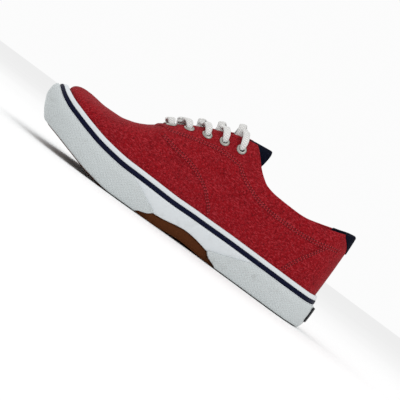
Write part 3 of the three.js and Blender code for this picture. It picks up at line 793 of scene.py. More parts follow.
class Paint:
    """A material under construction."""

    def __init__(self, name: str) -> None:
        """Start a material with a Principled shader.

        Args:
            name: The material's name.
        """
        self.material = bpy.data.materials.new(name)
        self.material.use_nodes = True
        self.tree = self.material.node_tree
        self.shader = self.tree.nodes["Principled BSDF"]

    def _feed(self, socket: bpy.types.NodeSocket, value: Setting) -> None:
        """Link a value to a socket, or set the socket to a constant.

        Args:
            socket: The socket.
            value: A value, another socket or a constant.
        """
        if isinstance(value, Value):
            self.tree.links.new(value.socket, socket)
        elif isinstance(value, bpy.types.NodeSocket):
            self.tree.links.new(value, socket)
        else:
            socket.default_value = value

    def node(
        self,
        kind: str,
        settings: dict[str, Setting] | None = None,
        inputs: dict[str | int, Setting] | None = None,
    ) -> bpy.types.Node:
        """Add a node.

        Args:
            kind: The node's type.
            settings: Its properties, which are set first.
            inputs: Values or links of its sockets.

        Returns:
            The node.
        """
        node = self.tree.nodes.new(kind)
        for name, value in (settings or {}).items():
            setattr(node, name, value)
        for name, value in (inputs or {}).items():
            self._feed(node.inputs[name], value)
        return node

    def coordinates(
        self, kind: Source, scale: tuple[float, float, float], turn: float = 0.0, shift: float = 0.0
    ) -> bpy.types.NodeSocket:
        """Give Object or UV coordinates, scaled and turned.

        Args:
            kind: Where they come from.
            scale: The scale along each axis, in pattern units for a metre.
            turn: An angle about Z, in radians.
            shift: How far the pattern is moved, so that two pieces don't match.

        Returns:
            The socket with the coordinates.
        """
        source = self.node("ShaderNodeTexCoord").outputs[kind.value]
        inputs = {"Vector": source, "Scale": scale, "Rotation": (0, 0, turn), "Location": (shift,) * 3}
        return self.node("ShaderNodeMapping", {}, inputs).outputs[0]

    def noise(self, where: bpy.types.NodeSocket, scale: float = 1.0, detail: float = 2.0) -> Value:
        """Give a noise that averages a half."""
        node = self.node("ShaderNodeTexNoise", {}, {"Vector": where, "Scale": scale, "Detail": detail})
        return Value(self, node.outputs[0])

    def waves(self, where: bpy.types.NodeSocket, along: str, bend: float = 0.0) -> Value:
        """Give sine bands across one direction, one to each unit of the coordinates.

        Args:
            where: The coordinates.
            along: The axis that the bands follow one another on.
            bend: How far the bands are bent.

        Returns:
            The bands, from 0 to 1.
        """
        node = self.node(
            "ShaderNodeTexWave",
            {"bands_direction": along},
            {"Vector": where, "Scale": 0.314, "Distortion": bend, "Detail": 1.0, "Detail Scale": 1.5},
        )
        return Value(self, node.outputs[1])

    def blend(self, first: Setting, second: Setting, share: Setting) -> bpy.types.NodeSocket:
        """Blend two colours."""
        node = self.node("ShaderNodeMix", {"data_type": "RGBA"}, {0: share, 6: first, 7: second})
        return node.outputs[2]

    def dress(
        self, tone: Setting, roughness: Setting, height: Value, depth: float, **constants: Setting
    ) -> bpy.types.Material:
        """Connect the shader.

        Args:
            tone: A colour or the socket that gives one.
            roughness: A number or a value.
            height: The relief of the surface.
            depth: How deep that relief is.
            **constants: Values of the shader's other sockets, with _ for a space.

        Returns:
            The material.
        """
        bump = self.node("ShaderNodeBump", {}, {"Height": height, "Strength": 1.0, "Distance": depth})
        wanted = {"Base Color": tone, "Roughness": roughness, "Normal": bump.outputs[0]}
        wanted.update({name.replace("_", " "): value for name, value in constants.items()})
        for name, value in wanted.items():
            self._feed(self.shader.inputs[name], value)
        return self.material


def color(red: int, green: int, blue: int) -> Color:
    """Turn a screen colour from 0 to 255 into the shader's linear one.

    Args:
        red: Red, from 0 to 255.
        green: Green, likewise.
        blue: Blue, likewise.

    Returns:
        The colour, with an alpha of 1.
    """
    shares = np.array((red, green, blue)) / 255
    linear = np.where(shares <= 0.04045, shares / 12.92, ((shares + 0.055) / 1.055) ** 2.4)
    return (*map(float, linear), 1.0)


@dataclass(frozen=True)
class Canvas:
    """Woven canvas of dyed warp and paler weft, on Object coordinates."""

    name: str
    deep: Color
    mid: Color
    fleck: Color
    fleck_share: float = 0.5
    turn: float = 0.0
    shift: float = 0.0
    along_yarn: float = 420.0
    across_yarn: float = 1500.0
    gloss: float = 0.1
    sheen: float = 0.02

    def make(self) -> bpy.types.Material:
        """Build the material.

        Returns:
            The material.
        """
        paint = Paint(self.name)
        slow, fast = self.along_yarn, self.across_yarn
        weft = paint.coordinates(Source.OBJECT, (slow, fast, fast), self.turn, self.shift)
        warp = paint.coordinates(Source.OBJECT, (fast, slow, slow), self.turn, self.shift + 3.7)
        patch = paint.coordinates(Source.OBJECT, (60.0, 60.0, 60.0), 0.0, self.shift)
        light = paint.noise(weft, 1.0, 3.0)
        dark = paint.noise(warp, 1.0, 3.0)
        wear = paint.noise(patch, 1.0, 3.0)
        low = 0.66 - 0.28 * self.fleck_share
        flecks = (light + 0.1 * wear).between(low, low + 0.22)
        shades = dark.between(0.44, 0.68)
        body = paint.blend(self.mid, self.deep, shades * 0.8)
        heathered = paint.blend(body, self.fleck, flecks * 0.85)
        tone = paint.blend(heathered, self.deep, wear.between(0.45, 0.75) * 0.25)
        return paint.dress(
            tone, 0.92 - 0.08 * flecks, light + dark, 0.25 * MM,
            Specular_IOR_Level=self.gloss, Sheen_Weight=self.sheen, Sheen_Roughness=0.5,
        )


@dataclass(frozen=True)
class Rubber:
    """Moulded rubber with a faint grain, small marks and, if asked, a fine crosshatch whose grooves carry
    painted shade.
    """

    name: str
    base: Color
    grime_and_groove_shade: Color
    roughness: float = 0.5
    hatch_pitch: float = 0.0
    dirt: float = 0.3
    gloss: float = 0.4

    def make(self) -> bpy.types.Material:
        """Build the material.

        Returns:
            The material.
        """
        paint = Paint(self.name)
        where = paint.coordinates(Source.OBJECT, (1.0, 1.0, 1.0))
        grain = paint.noise(where, 900.0, 3.0)
        marks = paint.noise(where, 95.0, 5.0)
        cloud = paint.noise(where, 22.0, 3.0)
        soiled = marks.between(0.56, 0.8) * cloud.between(0.35, 0.7) * self.dirt
        tone = paint.blend(self.base, self.grime_and_groove_shade, soiled)
        relief = 0.15 * grain + 0.1 * marks
        depth = 0.12 * MM
        if self.hatch_pitch > 0:
            turns = 1 / self.hatch_pitch
            slants = (
                paint.waves(paint.coordinates(Source.UV, (turns, turns, 1.0), math.radians(angle)), "X")
                for angle in (52, -52)
            )
            first, second = slants
            raised = first.high(second).between(0.55, 0.95)
            # Painted shade in the hatch grooves: each low line between the raised hatch is darkened
            # toward the darker rubber colour, a little everywhere and more where the soiling mask is
            # high, which is dirt caught there.
            tone = paint.blend(tone, self.grime_and_groove_shade, (1 - raised) * (0.09 + 0.2 * soiled))
            relief = relief + raised
            depth = 0.18 * MM
        return paint.dress(
            tone, self.roughness + 0.25 * soiled + 0.05 * grain, relief, depth,
            Specular_IOR_Level=self.gloss,
        )


@dataclass(frozen=True)
class Cloth:
    """A plain woven lining or braid that follows the piece's own UV map, in metres."""

    name: str
    base: Color
    shade: Color
    pitch: float = 0.0009
    turn: float = 0.0
    relief: float = 0.0002
    source: Source = Source.UV
    cross: str = "Y"

    def make(self) -> bpy.types.Material:
        """Build the material.

        Returns:
            The material.
        """
        paint = Paint(self.name)
        turns = 1 / self.pitch
        where = paint.coordinates(self.source, (turns, turns, turns), self.turn)
        place = paint.coordinates(Source.OBJECT, (1.0, 1.0, 1.0))
        threads = paint.waves(where, "X", 0.6) * paint.waves(where, self.cross, 0.6)
        cloud = paint.noise(place, 60.0, 4.0)
        fuzz = paint.noise(place, 2200.0, 2.0)
        weave = paint.blend(self.shade, self.base, threads.between(0.02, 0.5) * 0.75 + 0.25)
        tone = paint.blend(weave, self.shade, cloud.between(0.4, 0.75) * 0.45)
        return paint.dress(
            tone, 0.9 + 0.05 * fuzz, threads + 0.4 * fuzz, self.relief,
            Specular_IOR_Level=0.2, Sheen_Weight=0.1,
        )


@dataclass(frozen=True)
class Plating:
    """Bright nickel with fine handling marks."""

    name: str
    base: Color
    dull: Color

    def make(self) -> bpy.types.Material:
        """Build the material.

        Returns:
            The material.
        """
        paint = Paint(self.name)
        where = paint.coordinates(Source.OBJECT, (1.0, 1.0, 1.0))
        rub = paint.noise(where, 700.0, 4.0)
        haze = paint.noise(where, 160.0, 3.0)
        tone = paint.blend(self.base, self.dull, haze.between(0.5, 0.8) * 0.5)
        return paint.dress(tone, 0.2 + 0.3 * rub, rub, 0.03 * MM, Metallic=0.95)


@dataclass(frozen=True)
class Thread:
    """Sewing thread with a twist along it."""

    name: str
    base: Color
    shade: Color

    def make(self) -> bpy.types.Material:
        """Build the material.

        Returns:
            The material.
        """
        paint = Paint(self.name)
        where = paint.coordinates(Source.OBJECT, (1.0, 1.0, 1.0))
        ply = paint.noise(where, 2600.0, 2.0)
        soil = paint.noise(where, 120.0, 3.0)
        tone = paint.blend(self.base, self.shade, ply.between(0.35, 0.7) * 0.5 + 0.2 * soil)
        return paint.dress(tone, 0.85, ply, 0.1 * MM, Specular_IOR_Level=0.25)


class Finishes:
    """Every material of the shoe."""

    def __init__(self) -> None:
        """Build them all."""
        red = {"deep": color(78, 4, 10), "mid": color(134, 10, 20), "fleck": color(168, 48, 56)}
        self.vamp = Canvas("red_canvas_vamp", **red).make()
        self.quarter = Canvas("red_canvas_quarter", **red, turn=0.12, shift=11.3).make()
        self.band = Canvas("red_canvas_band", **red, turn=-0.15, shift=23.9).make()
        self.counter = Canvas("red_canvas_counter", **red, turn=0.3, shift=37.1).make()
        navy = {"deep": color(3, 4, 12), "mid": color(8, 11, 26), "fleck": color(24, 29, 48)}
        self.navy_cloth = Canvas(
            "navy_canvas", **navy, fleck_share=0.25, shift=5.1, gloss=0.05, sheen=0.0
        ).make()
        self.lining = Cloth(
            "tan_lining", color(206, 184, 150), color(160, 136, 104), 0.0011,
            source=Source.OBJECT, cross="Z",
        ).make()
        self.bed_cloth = Cloth(
            "insole_cloth", color(214, 198, 168), color(168, 148, 118), 0.0013, source=Source.OBJECT
        ).make()
        self.lace = Cloth(
            "white_lace", color(238, 237, 233), color(176, 176, 176), 0.0014, math.radians(45), 0.0003
        ).make()
        grime_and_groove_shade = color(132, 132, 128)
        self.white_rubber = Rubber("white_rubber", color(206, 211, 214), grime_and_groove_shade).make()
        self.hatched_rubber = Rubber(
            "white_rubber_hatched", color(192, 198, 199), grime_and_groove_shade, hatch_pitch=0.0021
        ).make()
        self.gum = Rubber(
            "gum_rubber", color(76, 38, 12), color(36, 20, 8), 0.65, dirt=0.9, gloss=0.1
        ).make()
        self.navy_rubber = Rubber(
            "navy_rubber", color(4, 8, 36), color(24, 28, 48), 0.5, gloss=0.08
        ).make()
        self.label = Rubber("label_rubber", color(14, 14, 18), color(50, 50, 54), 0.5, gloss=0.12).make()
        self.nickel = Plating("nickel", color(158, 156, 150), color(84, 82, 78)).make()
        self.thread = Thread("red_thread", color(180, 62, 68), color(112, 26, 34)).make()
        # Painted shade: the dark colour of the flat beads that stand for the shadow down each needle hole
        # between stitches.
        self.pinhole_shade = Thread("seam_shadow", color(72, 6, 14), color(48, 4, 10)).make()


class Piece:
    """A mesh of the dressed shoe on its way into the scene."""

    def __init__(self, name: str) -> None:
        """Start an empty mesh.

        Args:
            name: The piece's name.
        """
        self.name = name
        self.mesh = bpy.data.meshes.new(name)
        self.object = bpy.data.objects.new(name, self.mesh)
        bpy.context.scene.collection.objects.link(self.object)

    def lay(
        self, points: Array, spread: Array | None = None, weld: float = 0.0, flip: bool = True
    ) -> Piece:
        """Lay a grid over rows and columns of points.

        Args:
            points: The points, as rows of columns.
            spread: The UV map in metres, as rows of columns of two. Walked lengths if missing.
            weld: Points closer than this become one.
            flip: Turns the faces round.

        Returns:
            This piece.
        """
        rows, columns = points.shape[:2]
        grid = bmesh.new()
        grid.loops.layers.uv.new("UVMap")
        bmesh.ops.create_grid(grid, x_segments=columns - 1, y_segments=rows - 1, size=0.5)
        grid.to_mesh(self.mesh)
        grid.free()
        flat = np.empty(3 * len(self.mesh.vertices), dtype=np.float32)
        self.mesh.vertices.foreach_get("co", flat)
        cells = flat.reshape(-1, 3)
        column = np.rint((cells[:, 0] + 0.5) * (columns - 1)).astype(int)
        row = np.rint((cells[:, 1] + 0.5) * (rows - 1)).astype(int)
        self.mesh.vertices.foreach_set("co", points[row, column].astype(np.float32).ravel())
        if spread is None:
            spread = np.stack((run_lengths(points, 1), run_lengths(points, 0)), axis=-1)
        corners = np.empty(len(self.mesh.loops), dtype=np.int32)
        self.mesh.loops.foreach_get("vertex_index", corners)
        places = spread[row[corners], column[corners]].astype(np.float32)
        self.mesh.uv_layers[0].data.foreach_set("uv", places.ravel())
        return self.rework(lambda body: self._clean(body, weld, flip))

    @staticmethod
    def _clean(body: bmesh.types.BMesh, weld: float, flip: bool) -> None:
        """Weld close points, drop faces without area and turn the rest if asked.

        Args:
            body: The mesh.
            weld: Points closer than this become one.
            flip: Turns the faces round.
        """
        if weld > 0:
            bmesh.ops.remove_doubles(body, verts=body.verts, dist=weld)
        bmesh.ops.dissolve_degenerate(body, dist=1e-6, edges=body.edges)
        if flip:
            bmesh.ops.reverse_faces(body, faces=body.faces)

    def rework(self, change: Callable[[bmesh.types.BMesh], None]) -> Piece:
        """Change the mesh with bmesh operators.

        Args:
            change: Changes the mesh that it is given.

        Returns:
            This piece.
        """
        body = bmesh.new()
        body.from_mesh(self.mesh)
        change(body)
        body.to_mesh(self.mesh)
        body.free()
        self.mesh.update()
        return self

    def thicken(self, thickness: float, inner_material: int = 0) -> Piece:
        """Give an open sheet a wall on its inner side.

        Args:
            thickness: The wall's thickness.
            inner_material: How many slots further on the inner side's material is.

        Returns:
            This piece.
        """
        wall = self.object.modifiers.new("wall", "SOLIDIFY")
        wall.thickness = thickness
        wall.offset = -1.0
        wall.material_offset = inner_material
        wall.use_quality_normals = True
        return self

    def dress(self, materials: Sequence[bpy.types.Material], slot: str, *nodes: str) -> Piece:
        """Give the piece its materials and set it in the frame.

        Args:
            materials: The materials, in the order of the mesh's slots.
            slot: The record's material slot; not used.
            *nodes: The frame's nodes that it stands for.

        Returns:
            This piece.
        """
        for material in materials:
            self.mesh.materials.append(material)
        self.mesh.shade_smooth()
        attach(self.object, "root")
        if nodes:
            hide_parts(*nodes)
        LOG.info("%s: %d faces", self.name, len(self.mesh.polygons))
        return self


def border_lift(points: Array, rise: float, reach: float, sides: str = "lrbt") -> Array:
    """Round a sheet off at its borders.

    Args:
        points: The sheet's points, as rows of columns.
        rise: How far the sheet stands up away from its borders.
        reach: The distance over which it rises.
        sides: Which borders are rounded: left, right, bottom and top.

    Returns:
        The lift at each point.
    """
    along, up = run_lengths(points, 1), run_lengths(points, 0)
    distances = {"l": along, "r": along[:, -1:] - along, "b": up, "t": up[-1:] - up}
    nearest = np.min([distances[side] for side in sides], axis=0)
    return rise * rounded(nearest, reach, 2.2)


@dataclass
class Ribbon:
    """A sheet of the upper between two seams with as many points each."""

    form: ShoeForm
    lower: Seam
    upper: Seam

    def __post_init__(self) -> None:
        """Measure how wide the ribbon is at each column."""
        rows = np.linspace(0, 1, 24)[:, None]
        self.width = run_lengths(self.form.arch(*self.at(rows)), 0)[-1]

    def at(self, across: Array) -> tuple[Array, Array]:
        """Give angle and share at fractions of the way from the lower to the upper seam.

        Args:
            across: The fractions.

        Returns:
            The angles and the shares.
        """
        return (
            lerp(self.lower.angle, self.upper.angle, across),
            lerp(self.lower.share, self.upper.share, across),
        )

    def line(self, inset: float) -> Seam:
        """Give the line at a distance from the lower seam, or from the upper one if negative."""
        distance = inset if inset >= 0 else self.width + inset
        return Seam(self.form, *self.at(distance / np.maximum(self.width, 1e-6)))


@dataclass
class Stitching:
    """Rows of sewing thread along seams."""

    form: ShoeForm
    pitch: float = 2.6 * MM
    length: float = 1.75 * MM
    girth: float = 0.75 * MM
    hole: float = 1.15 * MM
    rows: tuple[float, float] = (1.4 * MM, 3.7 * MM)
    pucker: float = 0.3 * MM
    sink: float = 0.12 * MM
    body: bmesh.types.BMesh = field(default_factory=bmesh.new)
    hole_shades: bmesh.types.BMesh = field(default_factory=bmesh.new)

    def dip(self, distance: Array) -> Array:
        """Give how deep the thread pulls the cloth in at a distance from the cloth's border."""
        return self.pucker * sum(np.exp(-(((distance - row) / (0.7 * MM)) ** 2)) for row in self.rows)

    def steps(self, width: Array, count: int) -> Array:
        """Divide a ribbon's width, with fine steps across its rows of stitches.

        Args:
            width: The ribbon's width at each column.
            count: How many even steps follow the fine ones.

        Returns:
            Shares of the width, as rows of columns.
        """
        fine = MM * np.array((0, 0.3, 0.7, 1.05, 1.4, 1.75, 2.15, 2.95, 3.35, 3.7, 4.05, 4.6))
        near = fine[:, None] / width
        return np.concatenate((near, lerp(near[-1], 1, np.linspace(0, 1, count + 1)[1:, None])))

    def sew(self, seam: Seam, lift: float) -> None:
        """Sew a row of stitches along a seam.

        Args:
            seam: The line.
            lift: The height of the cloth over the form there.
        """
        total = seam.lengths()[-1]
        count = max(int(total / self.pitch), 1)
        half = self.length / 2 / total
        middles = (np.arange(count) + 0.5) / count
        angle, share = seam.at(middles)
        spots = self.form.place(angle, share, lift)
        normals = self.form.normal(angle, share)
        ahead = self.form.place(*seam.at(middles + half), lift)
        behind = self.form.place(*seam.at(middles - half), lift)
        for spot, normal, run in zip(spots, normals, unit(ahead - behind)):
            place, up, along = Vector(spot), Vector(normal), Vector(run)
            self._bead(self.body, place, up, along, (self.length, self.girth, 0.8 * self.girth))
            # Painted shade: a flat dark bead in the gap between two stitches stands for the shadow down
            # the needle hole.
            gap = place + along * self.pitch / 2
            self._bead(self.hole_shades, gap, up, along, (self.hole, self.hole, 0.3 * self.girth))

    @staticmethod
    def _bead(
        body: bmesh.types.BMesh, spot: Vector, normal: Vector, run: Vector, size: Sequence[float]
    ) -> None:
        """Add one stitch, or one dark bead painted as the shade in a needle hole, of a length, a width
        and a height.

        Args:
            body: The mesh that takes it.
            spot: Its middle.
            normal: The direction out of the cloth.
            run: The direction along the seam.
            size: Its length, width and height.
        """
        across = normal.cross(run).normalized()
        turn = Matrix((run, across, run.cross(across))).transposed().to_4x4()
        shape = Matrix.Diagonal((*(side / 2 for side in size), 1))
        where = Matrix.Translation(spot) @ turn @ shape @ Matrix.Rotation(math.pi / 2, 4, "Y")
        bmesh.ops.create_uvsphere(body, u_segments=6, v_segments=4, radius=1.0, matrix=where)

    def finish(self, thread: bpy.types.Material, pinhole_shade: bpy.types.Material, slot: str) -> None:
        """Make the stitches one piece, and the painted shade of the pinholes another.

        Args:
            thread: The stitches' material.
            pinhole_shade: The dark material painted as shade in the pinholes.
            slot: The record's material slot.
        """
        for name, body, material in (
            ("seam_stitches", self.body, thread), ("seam_pinhole_shades", self.hole_shades, pinhole_shade)
        ):
            piece = Piece(name)
            body.to_mesh(piece.mesh)
            body.free()
            piece.dress((material,), slot)


@dataclass
class Sole:
    """Outsole, midsole, stripe, bumpers and heel label."""

    form: ShoeForm
    finishes: Finishes
    stations: int = 480
    tread_pitch: float = 8.5 * MM
    tread_depth: float = 1.0 * MM
    label_thickness: float = 1.1 * MM
    wrap_wall: float = 1.2 * MM

    def __post_init__(self) -> None:
        """Lay out the angles round the sole."""
        self.angles = np.linspace(0, 2 * math.pi, self.stations + 1)

    def build(self) -> None:
        """Build every piece of the sole."""
        self._outsole()
        self._midsole()
        self._stripe()
        self._bumper(
            "toe_cap", "toe_bumper", (1, 0.74, 0.57, 0.445, 0.29, 0.17, 0.07, -0.2),
            (0.69, 0.673, 0.631, 0.607, 0.573, 0.585, 0.615, 0.63), True,
        )
        self._bumper(
            "heel_cap", "heel_bumper", (1, 0.74, 0.57, 0.43, 0.29, 0.16, 0.05, -0.2),
            (0.235, 0.255, 0.3, 0.34, 0.378, 0.365, 0.335, 0.32), False,
        )
        self._label()

    def _tread(self, points: Array) -> Array:
        """Press zigzag grooves into the underside, inside a plain border.

        Args:
            points: Points of the underside, in the frame.

        Returns:
            How deep they are pressed in.
        """
        x, y = points[..., 0], points[..., 1]
        zig = np.abs(((y / 0.016) % 1) - 0.5) * 0.009
        phase = ((x + zig) / self.tread_pitch) % 1
        return self.tread_depth * (1 - smooth(0.08, 0.17, np.abs(phase - 0.5)))

    def _outsole(self) -> None:
        """Build the gum outsole with its tread."""
        form, inset = self.form, -self.form.sizes.outsole_inset
        under, top = form.underside, form.outsole_top
        low_rim = form.wall(self.angles, under, inset)
        top_rim = form.wall(self.angles, top, inset)
        rows = []
        for share in np.concatenate((np.linspace(0, 0.9, 40), (0.91, 0.93, 0.975))):
            ring = form.inward(self.angles, low_rim, share, under)
            if share <= 0.9:
                ring[:, 2] += self._tread(ring)
            rows.append(ring)
        for share, out in ((0.0, -0.4 * MM), (0.06, 0.0), (0.35, 0.0), (0.8, 0.0), (1.0, 0.0)):
            rows.append(form.wall(self.angles, lambda u, s=share: lerp(under(u), top(u), s), inset + out))
        rows.append(form.inward(self.angles, top_rim, 0.5, top))
        rows.append(form.inward(self.angles, top_rim, 0.0, top))
        Piece("gum_outsole").lay(np.stack(rows), weld=2e-5).dress(
            (self.finishes.gum,), "gum_rubber", "outsole"
        )

    def _midsole(self) -> None:
        """Build the white side wall, its groove and the foot bed."""
        form, sizes = self.form, self.form.sizes
        gap = sizes.clearance
        groove = -(sizes.stripe_depth + gap)

        def over_stripe(rise: float) -> Profile:
            """Give a height over the stripe's top edge."""
            return lambda u: form.stripe_top(u) + rise

        def under_stripe(drop: float) -> Profile:
            """Give a height under the stripe's lower edge."""
            return lambda u: form.stripe_low(u) - drop

        def under_top(drop: float) -> Profile:
            """Give a height under the top edge."""
            return lambda u: form.side_top(u) - drop

        def over_outsole(rise: float) -> Profile:
            """Give a height over the outsole's top edge."""
            return lambda u: form.outsole_top(u) + rise

        low = over_outsole(0.1 * MM)
        foot = form.wall(self.angles, low, -0.8 * MM)
        rows = [form.inward(self.angles, foot, share, low) for share in (0.0, 0.6)]
        rows.append(foot)
        section = [(over_outsole(0.3 * MM), -0.2 * MM), (over_outsole(0.7 * MM), 0.0)]
        for share in (0.15, 0.3, 0.45, 0.6, 0.75, 0.9):
            section.append((lambda u, s=share: lerp(low(u), form.stripe_low(u), s), 0.0))
        section.extend((
            (under_stripe(0.7 * MM), 0.0), (under_stripe(0.35 * MM), -0.12 * MM),
            (under_stripe(gap), -0.5 * MM), (under_stripe(gap), groove),
            (over_stripe(gap), groove), (over_stripe(gap), -0.5 * MM),
            (over_stripe(0.35 * MM), -0.12 * MM), (over_stripe(0.7 * MM), 0.0),
            (under_top(1.5 * MM), 0.0), (under_top(0.9 * MM), -0.12 * MM),
            (under_top(0.4 * MM), -0.4 * MM), (under_top(0.1 * MM), -0.85 * MM),
            (under_top(0.0), -1.3 * MM),
        ))
        rows.extend(form.wall(self.angles, height, out) for height, out in section)
        rows.append(form.upright(self.angles, under_top(0.0), 0.8 * sizes.side_wall))
        rows.append(form.upright(self.angles, under_top(0.4 * MM), sizes.side_wall))
        for share in (0.6, 0.25, 0.0):
            rows.append(form.upright(
                self.angles, lambda u, s=share: lerp(form.bed(u), form.side_top(u), s), sizes.side_wall
            ))
        bed_rim = rows[-1]
        rows.extend(form.inward(self.angles, bed_rim, share, form.bed) for share in (0.7, 0.35, 0.0))
        Piece("rubber_midsole").lay(np.stack(rows), weld=2e-5).dress(
            (self.finishes.white_rubber,), "white_rubber", "midsole"
        )

    def _stripe(self) -> None:
        """Build the raised stripe in its groove."""
        form, depth = self.form, self.form.sizes.stripe_depth
        proud = 0.25 * MM
        section = (
            (0.0, -depth), (0.0, -0.15 * MM), (0.06, 0.1 * MM), (0.16, proud), (0.5, proud),
            (0.84, proud), (0.94, 0.1 * MM), (1.0, -0.15 * MM), (1.0, -depth), (0.0, -depth),
        )
        rows = [
            form.wall(
                self.angles, lambda u, s=share: lerp(form.stripe_low(u), form.stripe_top(u), s), out
            )
            for share, out in section
        ]
        Piece("navy_stripe").lay(np.stack(rows), weld=2e-5).dress(
            (self.finishes.navy_rubber,), "navy_rubber", "side_stripe"
        )

    def _bumper(
        self, name: str, node: str, shares: Sequence[float], ends: Sequence[float], at_toe: bool
    ) -> None:
        """Build a bumper whose free ends slope in side view.

        Args:
            name: The piece's name.
            node: The frame's node that it stands for.
            shares: Heights of its free ends, as shares of the side's height, from the top down.
            ends: Where the free ends are at those heights, as shares of the length.
            at_toe: True for the toe, False for the heel.
        """
        form, sizes = self.form, self.form.sizes
        height = sizes.side_height
        end_at = track([height * share for share in reversed(shares)], list(reversed(ends)))
        levels = edge_steps(16, 0.05)
        columns = edge_steps(220 if at_toe else 160, 0.004)
        rows = []
        for level in levels:
            def level_height(u: Array, s: float = level) -> Array:
                """Give this row's height."""
                low = form.underside(u) + sizes.bumper_lift
                return lerp(low, form.stripe_low(u) - 3 * sizes.clearance, s)

            u = float(end_at(0.4 * height))
            for _ in range(30):
                u = 0.5 * u + 0.5 * float(end_at(level_height(u)))
            angle = math.acos(1 - 2 * u)
            turn = lerp(angle, 2 * math.pi - angle, columns) if at_toe else lerp(-angle, angle, columns)
            rows.append((level_height, turn))
        flat = np.stack([form.wall(turn, level_height, 0.0) for level_height, turn in rows])
        lift = border_lift(flat, sizes.clearance + sizes.bumper_thickness, 1.3 * MM)
        lift *= lerp(1, 0.6, smooth(0.75, 1.0, levels))[:, None]
        points = np.stack([
            form.wall(turn, level_height, lift[i]) for i, (level_height, turn) in enumerate(rows)
        ])
        walked = np.stack([form.around(turn) for _, turn in rows])
        spread = np.stack((walked, points[..., 2]), axis=-1)
        Piece(name).lay(points, spread).thicken(self.wrap_wall).dress(
            (self.finishes.hatched_rubber,), "white_rubber", node
        )

    def _label(self) -> None:
        """Build the bare label at the back of the heel."""
        form, sizes = self.form, self.form.sizes
        low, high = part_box("heel_label")
        half = (high.y - low.y) / 2
        corner = 2.5 * MM
        across = edge_steps(40, 0.03)
        spots = np.linspace(-0.7, 0.7, 401)
        rows = []
        for level in edge_steps(12, 0.06):
            def flat_height(u: Array, z: float = lerp(low.z, high.z, level)) -> Array:
                """Give this row's height."""
                return np.full_like(u, z)

            z = lerp(low.z, high.z, level)
            from_end = min(z - low.z, high.z - z)
            reach = half - corner * (1 - float(rounded(from_end, corner, 2.0)))
            side = form.wall(spots, flat_height, 0.0)[:, 1]
            turn = np.interp(lerp(-reach, reach, across) + form.shift[1], side, spots)
            rows.append((flat_height, turn))
        flat = np.stack([form.wall(turn, height, 0.0) for height, turn in rows])
        inner = sizes.clearance + sizes.bumper_thickness
        lift = inner + border_lift(flat, self.label_thickness, 0.8 * MM)
        points = np.stack([form.wall(turn, height, lift[i]) for i, (height, turn) in enumerate(rows)])
        Piece("bare_heel_label").lay(points).thicken(self.wrap_wall).dress(
            (self.finishes.label,), "label_rubber", "heel_label"
        )


